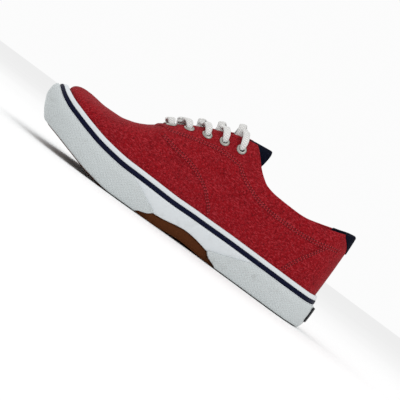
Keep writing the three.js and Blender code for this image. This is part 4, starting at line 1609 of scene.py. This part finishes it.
@dataclass
class Upper:
    """The canvas upper: its shell, the panels sewn over it, and the stitches."""

    form: ShoeForm
    finishes: Finishes
    columns: int = 620
    rows: int = 60
    panel_rise: float = 0.55 * MM
    band_rise: float = 1.05 * MM
    rim_radius: float = 1.6 * MM
    thin_cloth: float = 0.5 * MM
    thick_cloth: float = 0.6 * MM
    tab_half: float = 23.0 * MM
    tab_foot: float = 77.2 * MM
    tab_taper: float = 0.45

    def __post_init__(self) -> None:
        """Find the lines of the collar, the throat and the band."""
        form = self.form
        near_apex = 1 - (1 - np.linspace(0, 1, 420)) ** 2
        self.edges: dict[Side, Seam] = {}
        self.band_seams: dict[Side, Seam] = {}
        for side in Side:
            angle = side.value * form.apex(form.throat_front) * near_apex
            self.edges[side] = Seam(form, angle, form.crossing(angle, form.openness))
            angle = side.value * form.apex(form.band_front) * near_apex
            self.band_seams[side] = Seam(form, angle, form.crossing(angle, form.bandness))

    def build(self) -> None:
        """Build the shell, the panels and the stitches."""
        self._shell()
        stitching = Stitching(self.form)
        for side in Side:
            self._quarter(side, stitching)
        self._counter(stitching)
        self._band(stitching)
        stitching.finish(self.finishes.thread, self.finishes.pinhole_shade, "red_canvas")
        self._tab()

    def _share_on(self, seams: dict[Side, Seam], angle: Array) -> Array:
        """Read the seams' share at angles of either side.

        Args:
            seams: One seam for each side.
            angle: Angles, inner side positive.

        Returns:
            The shares.
        """
        inner, outer = seams[Side.INNER], seams[Side.OUTER]
        return np.where(
            angle >= 0,
            np.interp(np.abs(angle), np.abs(inner.angle), inner.share),
            np.interp(np.abs(angle), np.abs(outer.angle), outer.share),
        )

    def _shell(self) -> None:
        """Build the shell under every panel, with the lining inside it."""
        form = self.form
        angles = np.linspace(0, 2 * math.pi, self.columns + 1)
        signed = np.where(angles > math.pi, angles - 2 * math.pi, angles)
        top = form.crossing(signed, form.openness)
        short = 0.03 * smooth(0, 0.02, 1 - top)
        levels = np.concatenate((np.linspace(-0.9, -0.1, 4), np.linspace(0, 1, self.rows)))[:, None]
        points = form.place(angles[None, :], np.where(levels < 0, levels, levels * (top - short)))
        points[:, -1] = points[:, 0]
        Piece("canvas_shell").lay(points, weld=8e-5).thicken(form.sizes.upper_wall, 1).dress(
            (self.finishes.vamp, self.finishes.lining), "red_canvas", "upper"
        )

    def _rolled(self, foot: Array, normals: Array, ahead: Array, radius: float) -> list[Array]:
        """Give the rows of a sheet that rolls over the opening's edge.

        Args:
            foot: The middles of the roll, one for each column.
            normals: The directions out of the form there.
            ahead: The directions toward the opening.
            radius: The roll's radius.

        Returns:
            The rows, from the outside round to the inside.
        """
        return [
            foot + radius * (normals * math.cos(turn) + ahead * math.sin(turn))
            for turn in np.radians((22, 45, 67, 90, 112, 135, 157, 180))
        ]

    def _band_ribbon(self, side: Side) -> Ribbon:
        """Pair the band's seam with the opening's edge on one side.

        Args:
            side: The side of the shoe.

        Returns:
            The ribbon between them.
        """
        length = self.form.sizes.sole_length
        edge, seam = self.edges[side], self.band_seams[side]
        corner = edge.fraction_where(edge.along() > 0.436 * length)
        valley = seam.fraction_where(seam.along() > 0.425 * length)
        fractions = np.concatenate((np.linspace(0, 0.5, 120, endpoint=False), np.linspace(0.5, 1, 110)))
        return Ribbon(
            self.form,
            seam.resampled(np.interp(fractions, (0, 0.5, 1), (0, valley, 1))),
            edge.resampled(np.interp(fractions, (0, 0.5, 1), (0, corner, 1))),
        )

    def _band(self, stitching: Stitching) -> None:
        """Build the collar band and the facings, rolled over at the opening's edge.

        Args:
            stitching: Takes the panel's stitches.
        """
        form, radius = self.form, self.rim_radius
        halves = {}
        for side in Side:
            ribbon = self._band_ribbon(side)
            body = 1 - radius / ribbon.width
            angle, share = ribbon.at(stitching.steps(ribbon.width, 26) * body)
            flat = form.arch(angle, share)
            lift = border_lift(flat, self.band_rise, 0.8 * MM, "b") - stitching.dip(run_lengths(flat, 0))
            normals = form.normal(angle[-1], share[-1])
            ahead = form.arch(*ribbon.at(body + 0.02)) - form.arch(*ribbon.at(body))
            ahead = unit(ahead - np.sum(ahead * normals, axis=-1, keepdims=True) * normals)
            foot = form.place(angle[-1], share[-1], self.band_rise - radius)
            rolled = self._rolled(foot, normals, ahead, radius)
            tucked = foot + (0.5 * MM - radius) * normals - 2.0 * MM * ahead
            halves[side] = np.concatenate((form.place(angle, share, lift), np.stack((*rolled, tucked))))
            for inset in stitching.rows:
                stitching.sew(ribbon.line(inset).part(0.11, 0.995), self.band_rise - stitching.sink)
        points = np.concatenate((halves[Side.INNER], halves[Side.OUTER][:, -2::-1]), axis=1)
        points[:, -1] = points[:, 0]
        Piece("canvas_band").lay(points, weld=3e-5).thicken(self.thin_cloth).dress(
            (self.finishes.band,), "red_canvas", "collar_band"
        )

    def _quarter(self, side: Side, stitching: Stitching) -> None:
        """Build a side panel, whose front seam runs down from the throat to the sole.

        Args:
            side: The side of the shoe.
            stitching: Takes the panel's stitches.
        """
        form, length = self.form, self.form.sizes.sole_length
        seam_height = track(
            (0.437, 0.444, 0.469, 0.50, 0.53, 0.572, 0.607, 0.644, 0.69),
            MM * np.array((31.0, 35.2, 42.1, 49.9, 54.2, 57.9, 59.1, 60.7, 64.8)),
        )
        foot_steps, sunk, overlap = 120, -0.06, 0.035
        rise = np.linspace(0.437, 0.688, 160)
        up_angle, up_share = form.from_side(length * rise, seam_height(rise), side)
        up_share[0] = sunk
        back = math.acos(1 - 2 * 0.13)
        foot_angle = side.value * np.linspace(back, abs(up_angle[0]), foot_steps, endpoint=False)
        lower = Seam(
            form,
            np.concatenate((foot_angle, up_angle)),
            np.concatenate((np.full(foot_steps, sunk), up_share)),
        )
        band = self.band_seams[side]
        over = band.part(
            band.fraction_where(np.abs(band.angle) > back),
            band.fraction_where(band.along() > 0.69 * length),
        )
        over.share = np.minimum(over.share + overlap, 1)
        turn = lower.fraction_where(np.arange(len(lower.angle)) >= foot_steps)
        fractions = edge_steps(230, 0.004)
        ribbon = Ribbon(
            form,
            lower.resampled(np.interp(fractions, (0, 0.5, 1), (0, turn, 1))),
            over.resampled(np.interp(fractions, (0, 0.5, 1), (0, 0.5, 1))),
        )
        angle, share = ribbon.at(stitching.steps(ribbon.width, 44))
        flat = form.arch(angle, share)
        sewn = smooth(0.47, 0.53, fractions) * stitching.dip(run_lengths(flat, 0))
        lift = border_lift(flat, self.panel_rise, 0.6 * MM, "lrb") - sewn
        Piece(f"canvas_quarter_{side.name.lower()}").lay(
            form.place(angle, share, lift), flip=side is Side.INNER
        ).thicken(self.thin_cloth).dress((self.finishes.quarter,), "red_canvas")
        for inset in stitching.rows:
            line = ribbon.line(inset)
            front = line.fraction_where(fractions > 0.5)
            stitching.sew(line.part(front + 0.01, 0.97), self.panel_rise - stitching.sink)

    def _counter(self, stitching: Stitching) -> None:
        """Build the heel counter between the band and the sole.

        Args:
            stitching: Takes the panel's stitches.
        """
        form, length = self.form, self.form.sizes.sole_length
        collar, side_height = form.sizes.collar_height, form.sizes.side_height
        sunk, overlap = -0.06, 0.03
        front_at = track(
            (0.6 * side_height, 1.02 * side_height, 0.6 * collar, 0.748 * collar, 0.9 * collar),
            (0.19, 0.178, 0.153, 0.127, 0.1),
        )
        levels = edge_steps(40, 0.02)
        ends = {}
        for side in Side:
            angle = np.full_like(levels, 0.7)
            for _ in range(60):
                limit = self._share_on(self.band_seams, side.value * angle) + overlap
                spot = form.arch(side.value * angle, lerp(sunk, limit, levels))
                miss = length * front_at(spot[:, 2]) - spot[:, 0]
                u = (1 - np.cos(angle)) / 2 + 0.6 * miss / length
                angle = np.arccos(np.clip(1 - 2 * u, -1, 1))
            ends[side] = side.value * angle[:, None]
        angle = lerp(ends[Side.OUTER], ends[Side.INNER], edge_steps(230, 0.006)[None, :])
        share = lerp(sunk, self._share_on(self.band_seams, angle) + overlap, levels[:, None])
        flat = form.arch(angle, share)
        along = run_lengths(flat, 1)
        sewn = stitching.dip(np.minimum(along, along[:, -1:] - along))
        lift = 0.4 * self.panel_rise + border_lift(flat, self.panel_rise, 0.6 * MM, "lr") - sewn
        Piece("canvas_counter").lay(form.place(angle, share, lift)).thicken(self.thick_cloth).dress(
            (self.finishes.counter,), "red_canvas", "heel_counter"
        )
        for inset in stitching.rows:
            for wanted in (np.full(len(along), inset), along[:, -1] - inset):
                rows = list(zip(wanted, along, angle, share))
                seam = Seam(
                    form,
                    np.array([np.interp(w, walked, turns) for w, walked, turns, _ in rows]),
                    np.array([np.interp(w, walked, highs) for w, walked, _, highs in rows]),
                )
                stitching.sew(seam.part(0.04, 0.94), 1.4 * self.panel_rise - stitching.sink)

    def _tab(self) -> None:
        """Build the navy tab at the top of the heel, rolled over the collar's edge."""
        form, radius = self.form, self.rim_radius + 0.8 * MM
        spots = np.linspace(-0.72, 0.72, 865)
        edge = self._share_on(self.edges, spots)
        step = 0.01
        near = form.arch(spots, edge) - form.arch(spots, edge - step)
        top = edge - self.rim_radius * step / np.linalg.norm(near, axis=-1)
        bottom = form.crossing(spots, lambda points: points[..., 2] - self.tab_foot)
        columns = edge_steps(64, 0.02)
        angles, shares = [], []
        for level in edge_steps(24, 0.04):
            share = lerp(bottom, top, level)
            width = self.tab_half * lerp(self.tab_taper, 1.0, rounded(level, 1.0, 1.5))
            angles.append(np.interp(lerp(-width, width, columns), form.arch(spots, share)[:, 1], spots))
            shares.append(np.interp(angles[-1], spots, share))
        angle, share = np.stack(angles), np.stack(shares)
        lift = self.band_rise - 0.3 * MM + border_lift(form.arch(angle, share), 1.0 * MM, 0.7 * MM, "lrb")
        normals = form.normal(angle[-1], share[-1])
        ahead = unit(form.arch(angle[-1], share[-1] + 0.01) - form.arch(angle[-1], share[-1]))
        foot = form.place(angle[-1], share[-1], self.band_rise + 0.75 * MM - radius)
        inside = [foot - radius * normals - down * MM * ahead for down in (3, 6, 9)]
        rolled = self._rolled(foot, normals, ahead, radius)
        points = np.concatenate((form.place(angle, share, lift), np.stack((*rolled, *inside))))
        Piece("navy_heel_tab").lay(points).thicken(self.thick_cloth).dress(
            (self.finishes.navy_cloth,), "navy_canvas", "heel_tab"
        )


@dataclass
class Inside:
    """The insole and the tongue."""

    form: ShoeForm
    finishes: Finishes
    tongue_top: float = 0.378
    tongue_foot: float = 0.73
    tongue_half: float = 22.0 * MM
    tongue_drop: float = 3.3 * MM
    tongue_thickness: float = 2.0 * MM

    def build(self) -> None:
        """Build both."""
        self._insole()
        self._tongue()

    def _insole(self) -> None:
        """Build the insole on the foot bed."""
        form, sizes = self.form, self.form.sizes
        angles = np.linspace(0, 2 * math.pi, 241)
        inset = sizes.side_wall + 2 * sizes.clearance + sizes.upper_wall

        def level(share: float) -> Profile:
            """Give a height between the insole's underside and its top."""
            return lambda u: form.bed(u) + sizes.clearance + share * sizes.insole_thickness

        low_rim = form.upright(angles, level(0.0), inset)
        rows = [form.inward(angles, low_rim, share, level(0.0)) for share in (0.0, 0.5)]
        rows.append(low_rim)
        for share, draw in ((0.4, 0.0), (0.75, 0.1), (0.93, 0.5), (1.0, 1.2)):
            rows.append(form.upright(angles, level(share), inset + draw * MM))
        top_rim = rows[-1]
        for share in (0.85, 0.65, 0.45, 0.2, 0.0):
            ring = form.inward(angles, top_rim, share, level(1.0))
            ring[:, 2] -= 0.8 * MM * (1 - share ** 2)
            rows.append(ring)
        Piece("cloth_insole").lay(np.stack(rows), weld=2e-5).dress(
            (self.finishes.bed_cloth,), "lining", "insole"
        )

    def _tongue(self) -> None:
        """Build the tongue under the laces."""
        form, length = self.form, self.form.sizes.sole_length
        across = lerp(-1, 1, edge_steps(36, 0.02))[None, :]
        u = lerp(self.tongue_top, self.tongue_foot, edge_steps(110, 0.008))[:, None]
        blunt = 0.0012
        end = rounded(u - self.tongue_top + blunt, 0.03, 2.6)
        end = end * rounded(self.tongue_foot - u + blunt, 0.03, 2.6)
        taper = lerp(1, 0.75, (u - self.tongue_top) / (self.tongue_foot - self.tongue_top))
        offset = self.tongue_half * taper * end * across
        angle, share = form.from_plan(length * u, form.throat_axis(u) + offset)
        pad = border_lift(form.arch(angle, share), 0.6 * MM, 1.4 * MM)
        ridge = 0.25 * MM * np.exp(-((offset / (1.5 * MM)) ** 2))
        points = form.place(angle, share, pad + ridge - self.tongue_drop - 0.6 * MM)
        Piece("navy_tongue").lay(points).thicken(self.tongue_thickness).dress(
            (self.finishes.navy_cloth,), "navy_canvas", "tongue"
        )


@dataclass
class Lacing:
    """Ten eyelets and the flat lace through them."""

    form: ShoeForm
    finishes: Finishes
    rows: tuple[float, ...] = (0.668, 0.622, 0.57, 0.518, 0.464)
    lace_width: float = 6.6 * MM
    lace_thickness: float = 2.3 * MM
    seat: float = 1.15 * MM
    flange_radius: float = 4.7 * MM
    bore_radius: float = 2.3 * MM
    barrel_depth: float = 2.4 * MM

    def __post_init__(self) -> None:
        """Read the eyelets' places from the frame."""
        self.spots: dict[tuple[Side, int], Array] = {}
        for side in Side:
            for row, at in enumerate(self.rows):
                low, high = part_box(f"eyelet_{side.name.lower()}_{row + 1}")
                across = (low.y + high.y) / 2 - self.form.shift[1]
                self.spots[side, row] = np.array((self.form.sizes.sole_length * at, across))

    def build(self) -> None:
        """Build the eyelets and the lace."""
        self._eyelets()
        self._bore_shades()
        self._bar()
        for row in range(1, len(self.rows)):
            for side in Side:
                self._strand(row, side)

    def _eyelets(self) -> None:
        """Spin the eyelets and set each on its place."""
        bore, flange, seat = self.bore_radius, self.flange_radius, self.seat
        section = (
            (bore, -self.barrel_depth), (bore, seat + 0.35 * MM), (bore + 0.12 * MM, seat + 0.7 * MM),
            (bore + 0.45 * MM, seat + 1.0 * MM), (bore + 0.95 * MM, seat + 1.15 * MM),
            (bore + 1.45 * MM, seat + 1.0 * MM), (flange - 0.35 * MM, seat + 0.55 * MM),
            (flange - 0.05 * MM, seat + 0.25 * MM), (flange, seat), (flange - 0.2 * MM, seat - 0.3 * MM),
            (bore + 0.6 * MM, seat - 0.3 * MM), (bore + 0.6 * MM, -self.barrel_depth),
        )
        body = bmesh.new()
        for spot in self.spots.values():
            angle, share = self.form.from_plan(*spot)
            place = Vector(self.form.place(angle, share))
            normal = Vector(self.form.normal(angle, share))
            ring = [body.verts.new((radius, 0, height)) for radius, height in section]
            edges = [body.edges.new(pair) for pair in zip(ring, ring[1:] + ring[:1])]
            bmesh.ops.spin(
                body, geom=ring + edges, cent=(0, 0, 0), axis=(0, 0, 1), angle=2 * math.pi,
                steps=32, use_merge=True,
            )
            fresh = [vertex for vertex in body.verts if not vertex.tag]
            turn = Vector((0, 0, 1)).rotation_difference(normal).to_matrix().to_4x4()
            bmesh.ops.transform(body, matrix=Matrix.Translation(place) @ turn, verts=fresh)
            for vertex in fresh:
                vertex.tag = True
        bmesh.ops.remove_doubles(body, verts=body.verts, dist=1e-6)
        bmesh.ops.recalc_face_normals(body, faces=body.faces)
        piece = Piece("nickel_eyelets")
        body.to_mesh(piece.mesh)
        body.free()
        names = [f"eyelet_{side.name.lower()}_{row + 1}" for side, row in self.spots]
        piece.dress((self.finishes.nickel,), "nickel", *names)

    def _bore_shades(self) -> None:
        """Fill each bore with a plug of dark navy cloth as painted shade down the hole, because the
        canvas under it isn't pierced.
        """
        body = bmesh.new()
        depth = self.barrel_depth
        for spot in self.spots.values():
            angle, share = self.form.from_plan(*spot)
            middle = Vector(self.form.place(angle, share, self.seat + 0.15 * MM - depth / 2))
            normal = Vector(self.form.normal(angle, share))
            turn = Vector((0, 0, 1)).rotation_difference(normal).to_matrix().to_4x4()
            radius = self.bore_radius + 0.1 * MM
            bmesh.ops.create_cone(
                body, cap_ends=True, segments=24, radius1=radius, radius2=radius, depth=depth,
                matrix=Matrix.Translation(middle) @ turn,
            )
        piece = Piece("eyelet_bore_shades")
        body.to_mesh(piece.mesh)
        body.free()
        piece.dress((self.finishes.navy_cloth,), "navy_canvas")

    def _strap(self, name: str, stops: Sequence[tuple[float, ...]], *nodes: str) -> None:
        """Build one run of lace.

        Args:
            name: The piece's name.
            stops: Places in plan, height over the form and width share, from end to end.
            *nodes: The frame's nodes that it stands for.
        """
        table = np.array(stops)
        walked = run_lengths(table[:, :3], 0)
        at = np.linspace(0, walked[-1], 64)
        x, y, lift, width = (track(walked, column)(at) for column in table.T)
        angle, share = self.form.from_plan(x, y)
        centre = self.form.place(angle, share, lift)
        heading = unit(centre[-1] - centre[0])
        across = unit(np.cross(self.form.normal(angle, share), heading))
        up = unit(np.cross(unit(np.gradient(centre, axis=0)), across))
        turn = np.linspace(0, 2 * math.pi, 21)
        wide = np.sign(np.cos(turn)) * np.abs(np.cos(turn)) ** 0.7
        high = np.sign(np.sin(turn)) * np.abs(np.sin(turn)) ** 0.75
        half = self.lace_width / 2 * width
        thick = self.lace_thickness / 2 * lerp(1.5, 1, smooth(0.6, 1, width))
        points = (
            centre[:, None]
            + across[:, None] * (half[:, None] * wide)[..., None]
            + up[:, None] * (thick[:, None] * high)[..., None]
        )
        points[:, -1] = points[:, 0]
        length = run_lengths(centre, 0)[:, None]
        girth = turn[None, :] / (2 * math.pi) * 2.3 * self.lace_width
        spread = np.stack(np.broadcast_arrays(length, girth), axis=-1)

        def close(body: bmesh.types.BMesh) -> None:
            """Cap both ends.

            Args:
                body: The lace's mesh.
            """
            rim = [edge for edge in body.edges if edge.is_boundary]
            bmesh.ops.holes_fill(body, edges=rim, sides=0)
            bmesh.ops.recalc_face_normals(body, faces=body.faces)

        piece = Piece(name).lay(points, spread, weld=1e-6).rework(close)
        piece.dress((self.finishes.lace,), "lace_cotton", *nodes)

    @staticmethod
    def _toward(start: Array, end: Array, distance: float) -> Array:
        """Give the place a distance on from start toward end, in plan."""
        return start + (end - start) / np.linalg.norm(end - start) * distance

    def _rise(self, start: Array, end: Array) -> list[tuple[float, ...]]:
        """Lead the lace up through an eyelet and over its rim, toward another place.

        Args:
            start: The eyelet's place, in plan.
            end: The place that the lace heads for.

        Returns:
            Places in plan, height over the form and width share.
        """
        return [
            (*start, -6.0 * MM, 0.5),
            (*self._toward(start, end, 0.1 * MM), -1.0 * MM, 0.58),
            (*self._toward(start, end, 0.9 * MM), 2.6 * MM, 0.84),
            (*self._toward(start, end, 3.2 * MM), 5.4 * MM, 1.0),
            (*self._toward(start, end, 7.5 * MM), 6.0 * MM, 1.0),
        ]

    def _bar(self) -> None:
        """Run the straight bar over the pair of eyelets nearest the toe."""
        inner, outer = self.spots[Side.INNER, 0], self.spots[Side.OUTER, 0]
        middle = (*((inner + outer) / 2), 5.8 * MM, 1.0)
        stops = (*self._rise(inner, outer), middle, *self._rise(outer, inner)[::-1])
        self._strap("lace_bar_run", stops, "lace_bar")

    def _strand(self, row: int, side: Side) -> None:
        """Run one strand of a crossing. The outer side's strand lies over the inner side's.

        Args:
            row: The pair of eyelets, 0 nearest the toe.
            side: The side that the strand starts on.
        """
        over = side is Side.OUTER
        start = self.spots[side, row]
        end_at = lerp(self.rows[row], self.rows[row - 1], 0.55)
        edge_y = self.form.throat_axis(end_at) - side.value * self.form.throat_half(end_at)
        edge = np.array((self.form.sizes.sole_length * end_at, float(edge_y)))
        run = float(np.linalg.norm(edge - start))
        cross = 6.9 * MM if over else 3.9 * MM
        stops = [
            *self._rise(start, edge),
            (*self._toward(start, edge, 0.52 * run), 0.5 * cross + 1.5 * MM, 1.0),
            (*self._toward(start, edge, 0.68 * run), cross, 1.0),
            (*self._toward(start, edge, run - 3.2 * MM), 0.9 * MM if over else 0.4 * MM, 1.0),
            (*edge, -2.9 * MM, 1.0),
            (*self._toward(start, edge, run + 5.5 * MM), -3.6 * MM, 1.0),
        ]
        nodes = (f"lace_cross_{row + 1}",) if over else ()
        self._strap(f"lace_{side.name.lower()}_run_{row + 1}", stops, *nodes)


@dataclass
class Studio:
    """Floor, lights and camera."""

    azimuth: float = 171.4
    elevation: float = 0.7
    roll: float = 36.7
    lens: float = 94.2
    sensor: float = 36.0
    pixels_per_metre: float = 1148.0
    image_size: int = 400
    aim_height: float = 0.056
    aim_right: float = -0.0014
    aim_up: float = -0.0196

    def set_camera(self) -> None:
        """Set the camera at the photograph's angle to the shoe."""
        data = bpy.data.cameras.new("camera")
        data.lens, data.sensor_width = self.lens, self.sensor
        data.clip_start, data.clip_end = 0.05, 60.0
        camera = bpy.data.objects.new("camera", data)
        bpy.context.scene.collection.objects.link(camera)
        bpy.context.scene.camera = camera
        low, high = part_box("midsole")
        target = (low + high) / 2
        target.z = self.aim_height
        a, e = math.radians(self.azimuth), math.radians(self.elevation)
        back = Vector((math.sin(a) * math.cos(e), -math.cos(a) * math.cos(e), math.sin(e)))
        distance = self.image_size / self.pixels_per_metre * self.lens / self.sensor
        right = Vector((0, 0, 1)).cross(back).normalized()
        spin = Matrix.Rotation(math.radians(self.roll), 3, back)
        turned = Matrix((spin @ right, spin @ back.cross(right), back)).transposed()
        target += turned @ Vector((self.aim_right, self.aim_up, 0))
        camera.matrix_world = Matrix.Translation(target + back * distance) @ turned.to_4x4()
        LOG.info("camera %.3f m away, %.3f m up", distance, camera.matrix_world.translation.z)

    def set_stage(self) -> None:
        """Lay the floor."""
        paint = Paint("studio_floor")
        cloud = paint.noise(paint.coordinates(Source.OBJECT, (1.0, 1.0, 1.0)), 3.0, 2.0)
        tone = paint.blend((0.86, 0.86, 0.86, 1.0), (0.9, 0.9, 0.9, 1.0), cloud)
        material = paint.dress(tone, 0.9, cloud, 0.01 * MM, Specular_IOR_Level=0.0)
        body = bmesh.new()
        bmesh.ops.create_grid(body, x_segments=8, y_segments=8, size=12.0)
        mesh = bpy.data.meshes.new("floor")
        body.to_mesh(mesh)
        body.free()
        mesh.materials.append(material)
        floor = bpy.data.objects.new("floor", mesh)
        bpy.context.scene.collection.objects.link(floor)

    def set_lights(self) -> None:
        """Hang the soft lights."""
        world = bpy.data.worlds.new("studio")
        world.use_nodes = True
        background = world.node_tree.nodes["Background"]
        background.inputs["Color"].default_value = (1.0, 1.0, 1.0, 1.0)
        background.inputs["Strength"].default_value = 0.97
        bpy.context.scene.world = world
        self._softbox("key", (-0.35, 0.9, 1.1), 0.6, 3.6)
        self._softbox("top", (0.25, -0.1, 1.5), 1.2, 1.6)
        self._softbox("rim", (0.9, -0.7, 0.7), 0.6, 0.8)
        bpy.context.scene.view_settings.view_transform = "Standard"

    @staticmethod
    def _softbox(name: str, spot: tuple[float, float, float], size: float, power: float) -> None:
        """Hang one soft light that faces the shoe.

        Args:
            name: The light's name.
            spot: Its place.
            size: Its width in metres.
            power: Its power in watts.
        """
        data = bpy.data.lights.new(name, "AREA")
        data.shape, data.size, data.energy = "DISK", size, power
        light = bpy.data.objects.new(name, data)
        bpy.context.scene.collection.objects.link(light)
        light.location = spot
        light.rotation_euler = (Vector((0, 0, 0.05)) - Vector(spot)).to_track_quat("-Z", "Y").to_euler()


def main() -> None:
    """Build the dressed shoe and its studio."""
    logging.basicConfig(level=logging.INFO, format="%(name)s %(message)s", stream=sys.stdout)
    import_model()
    studio = Studio()
    studio.set_camera()
    form = ShoeForm(Sizes(), FOLDS)
    finishes = Finishes()
    Sole(form, finishes).build()
    Inside(form, finishes).build()
    Upper(form, finishes).build()
    Lacing(form, finishes).build()
    studio.set_stage()
    studio.set_lights()
    bpy.context.view_layer.update()
    LOG.info("built")


if __name__ == "__main__":
    main()
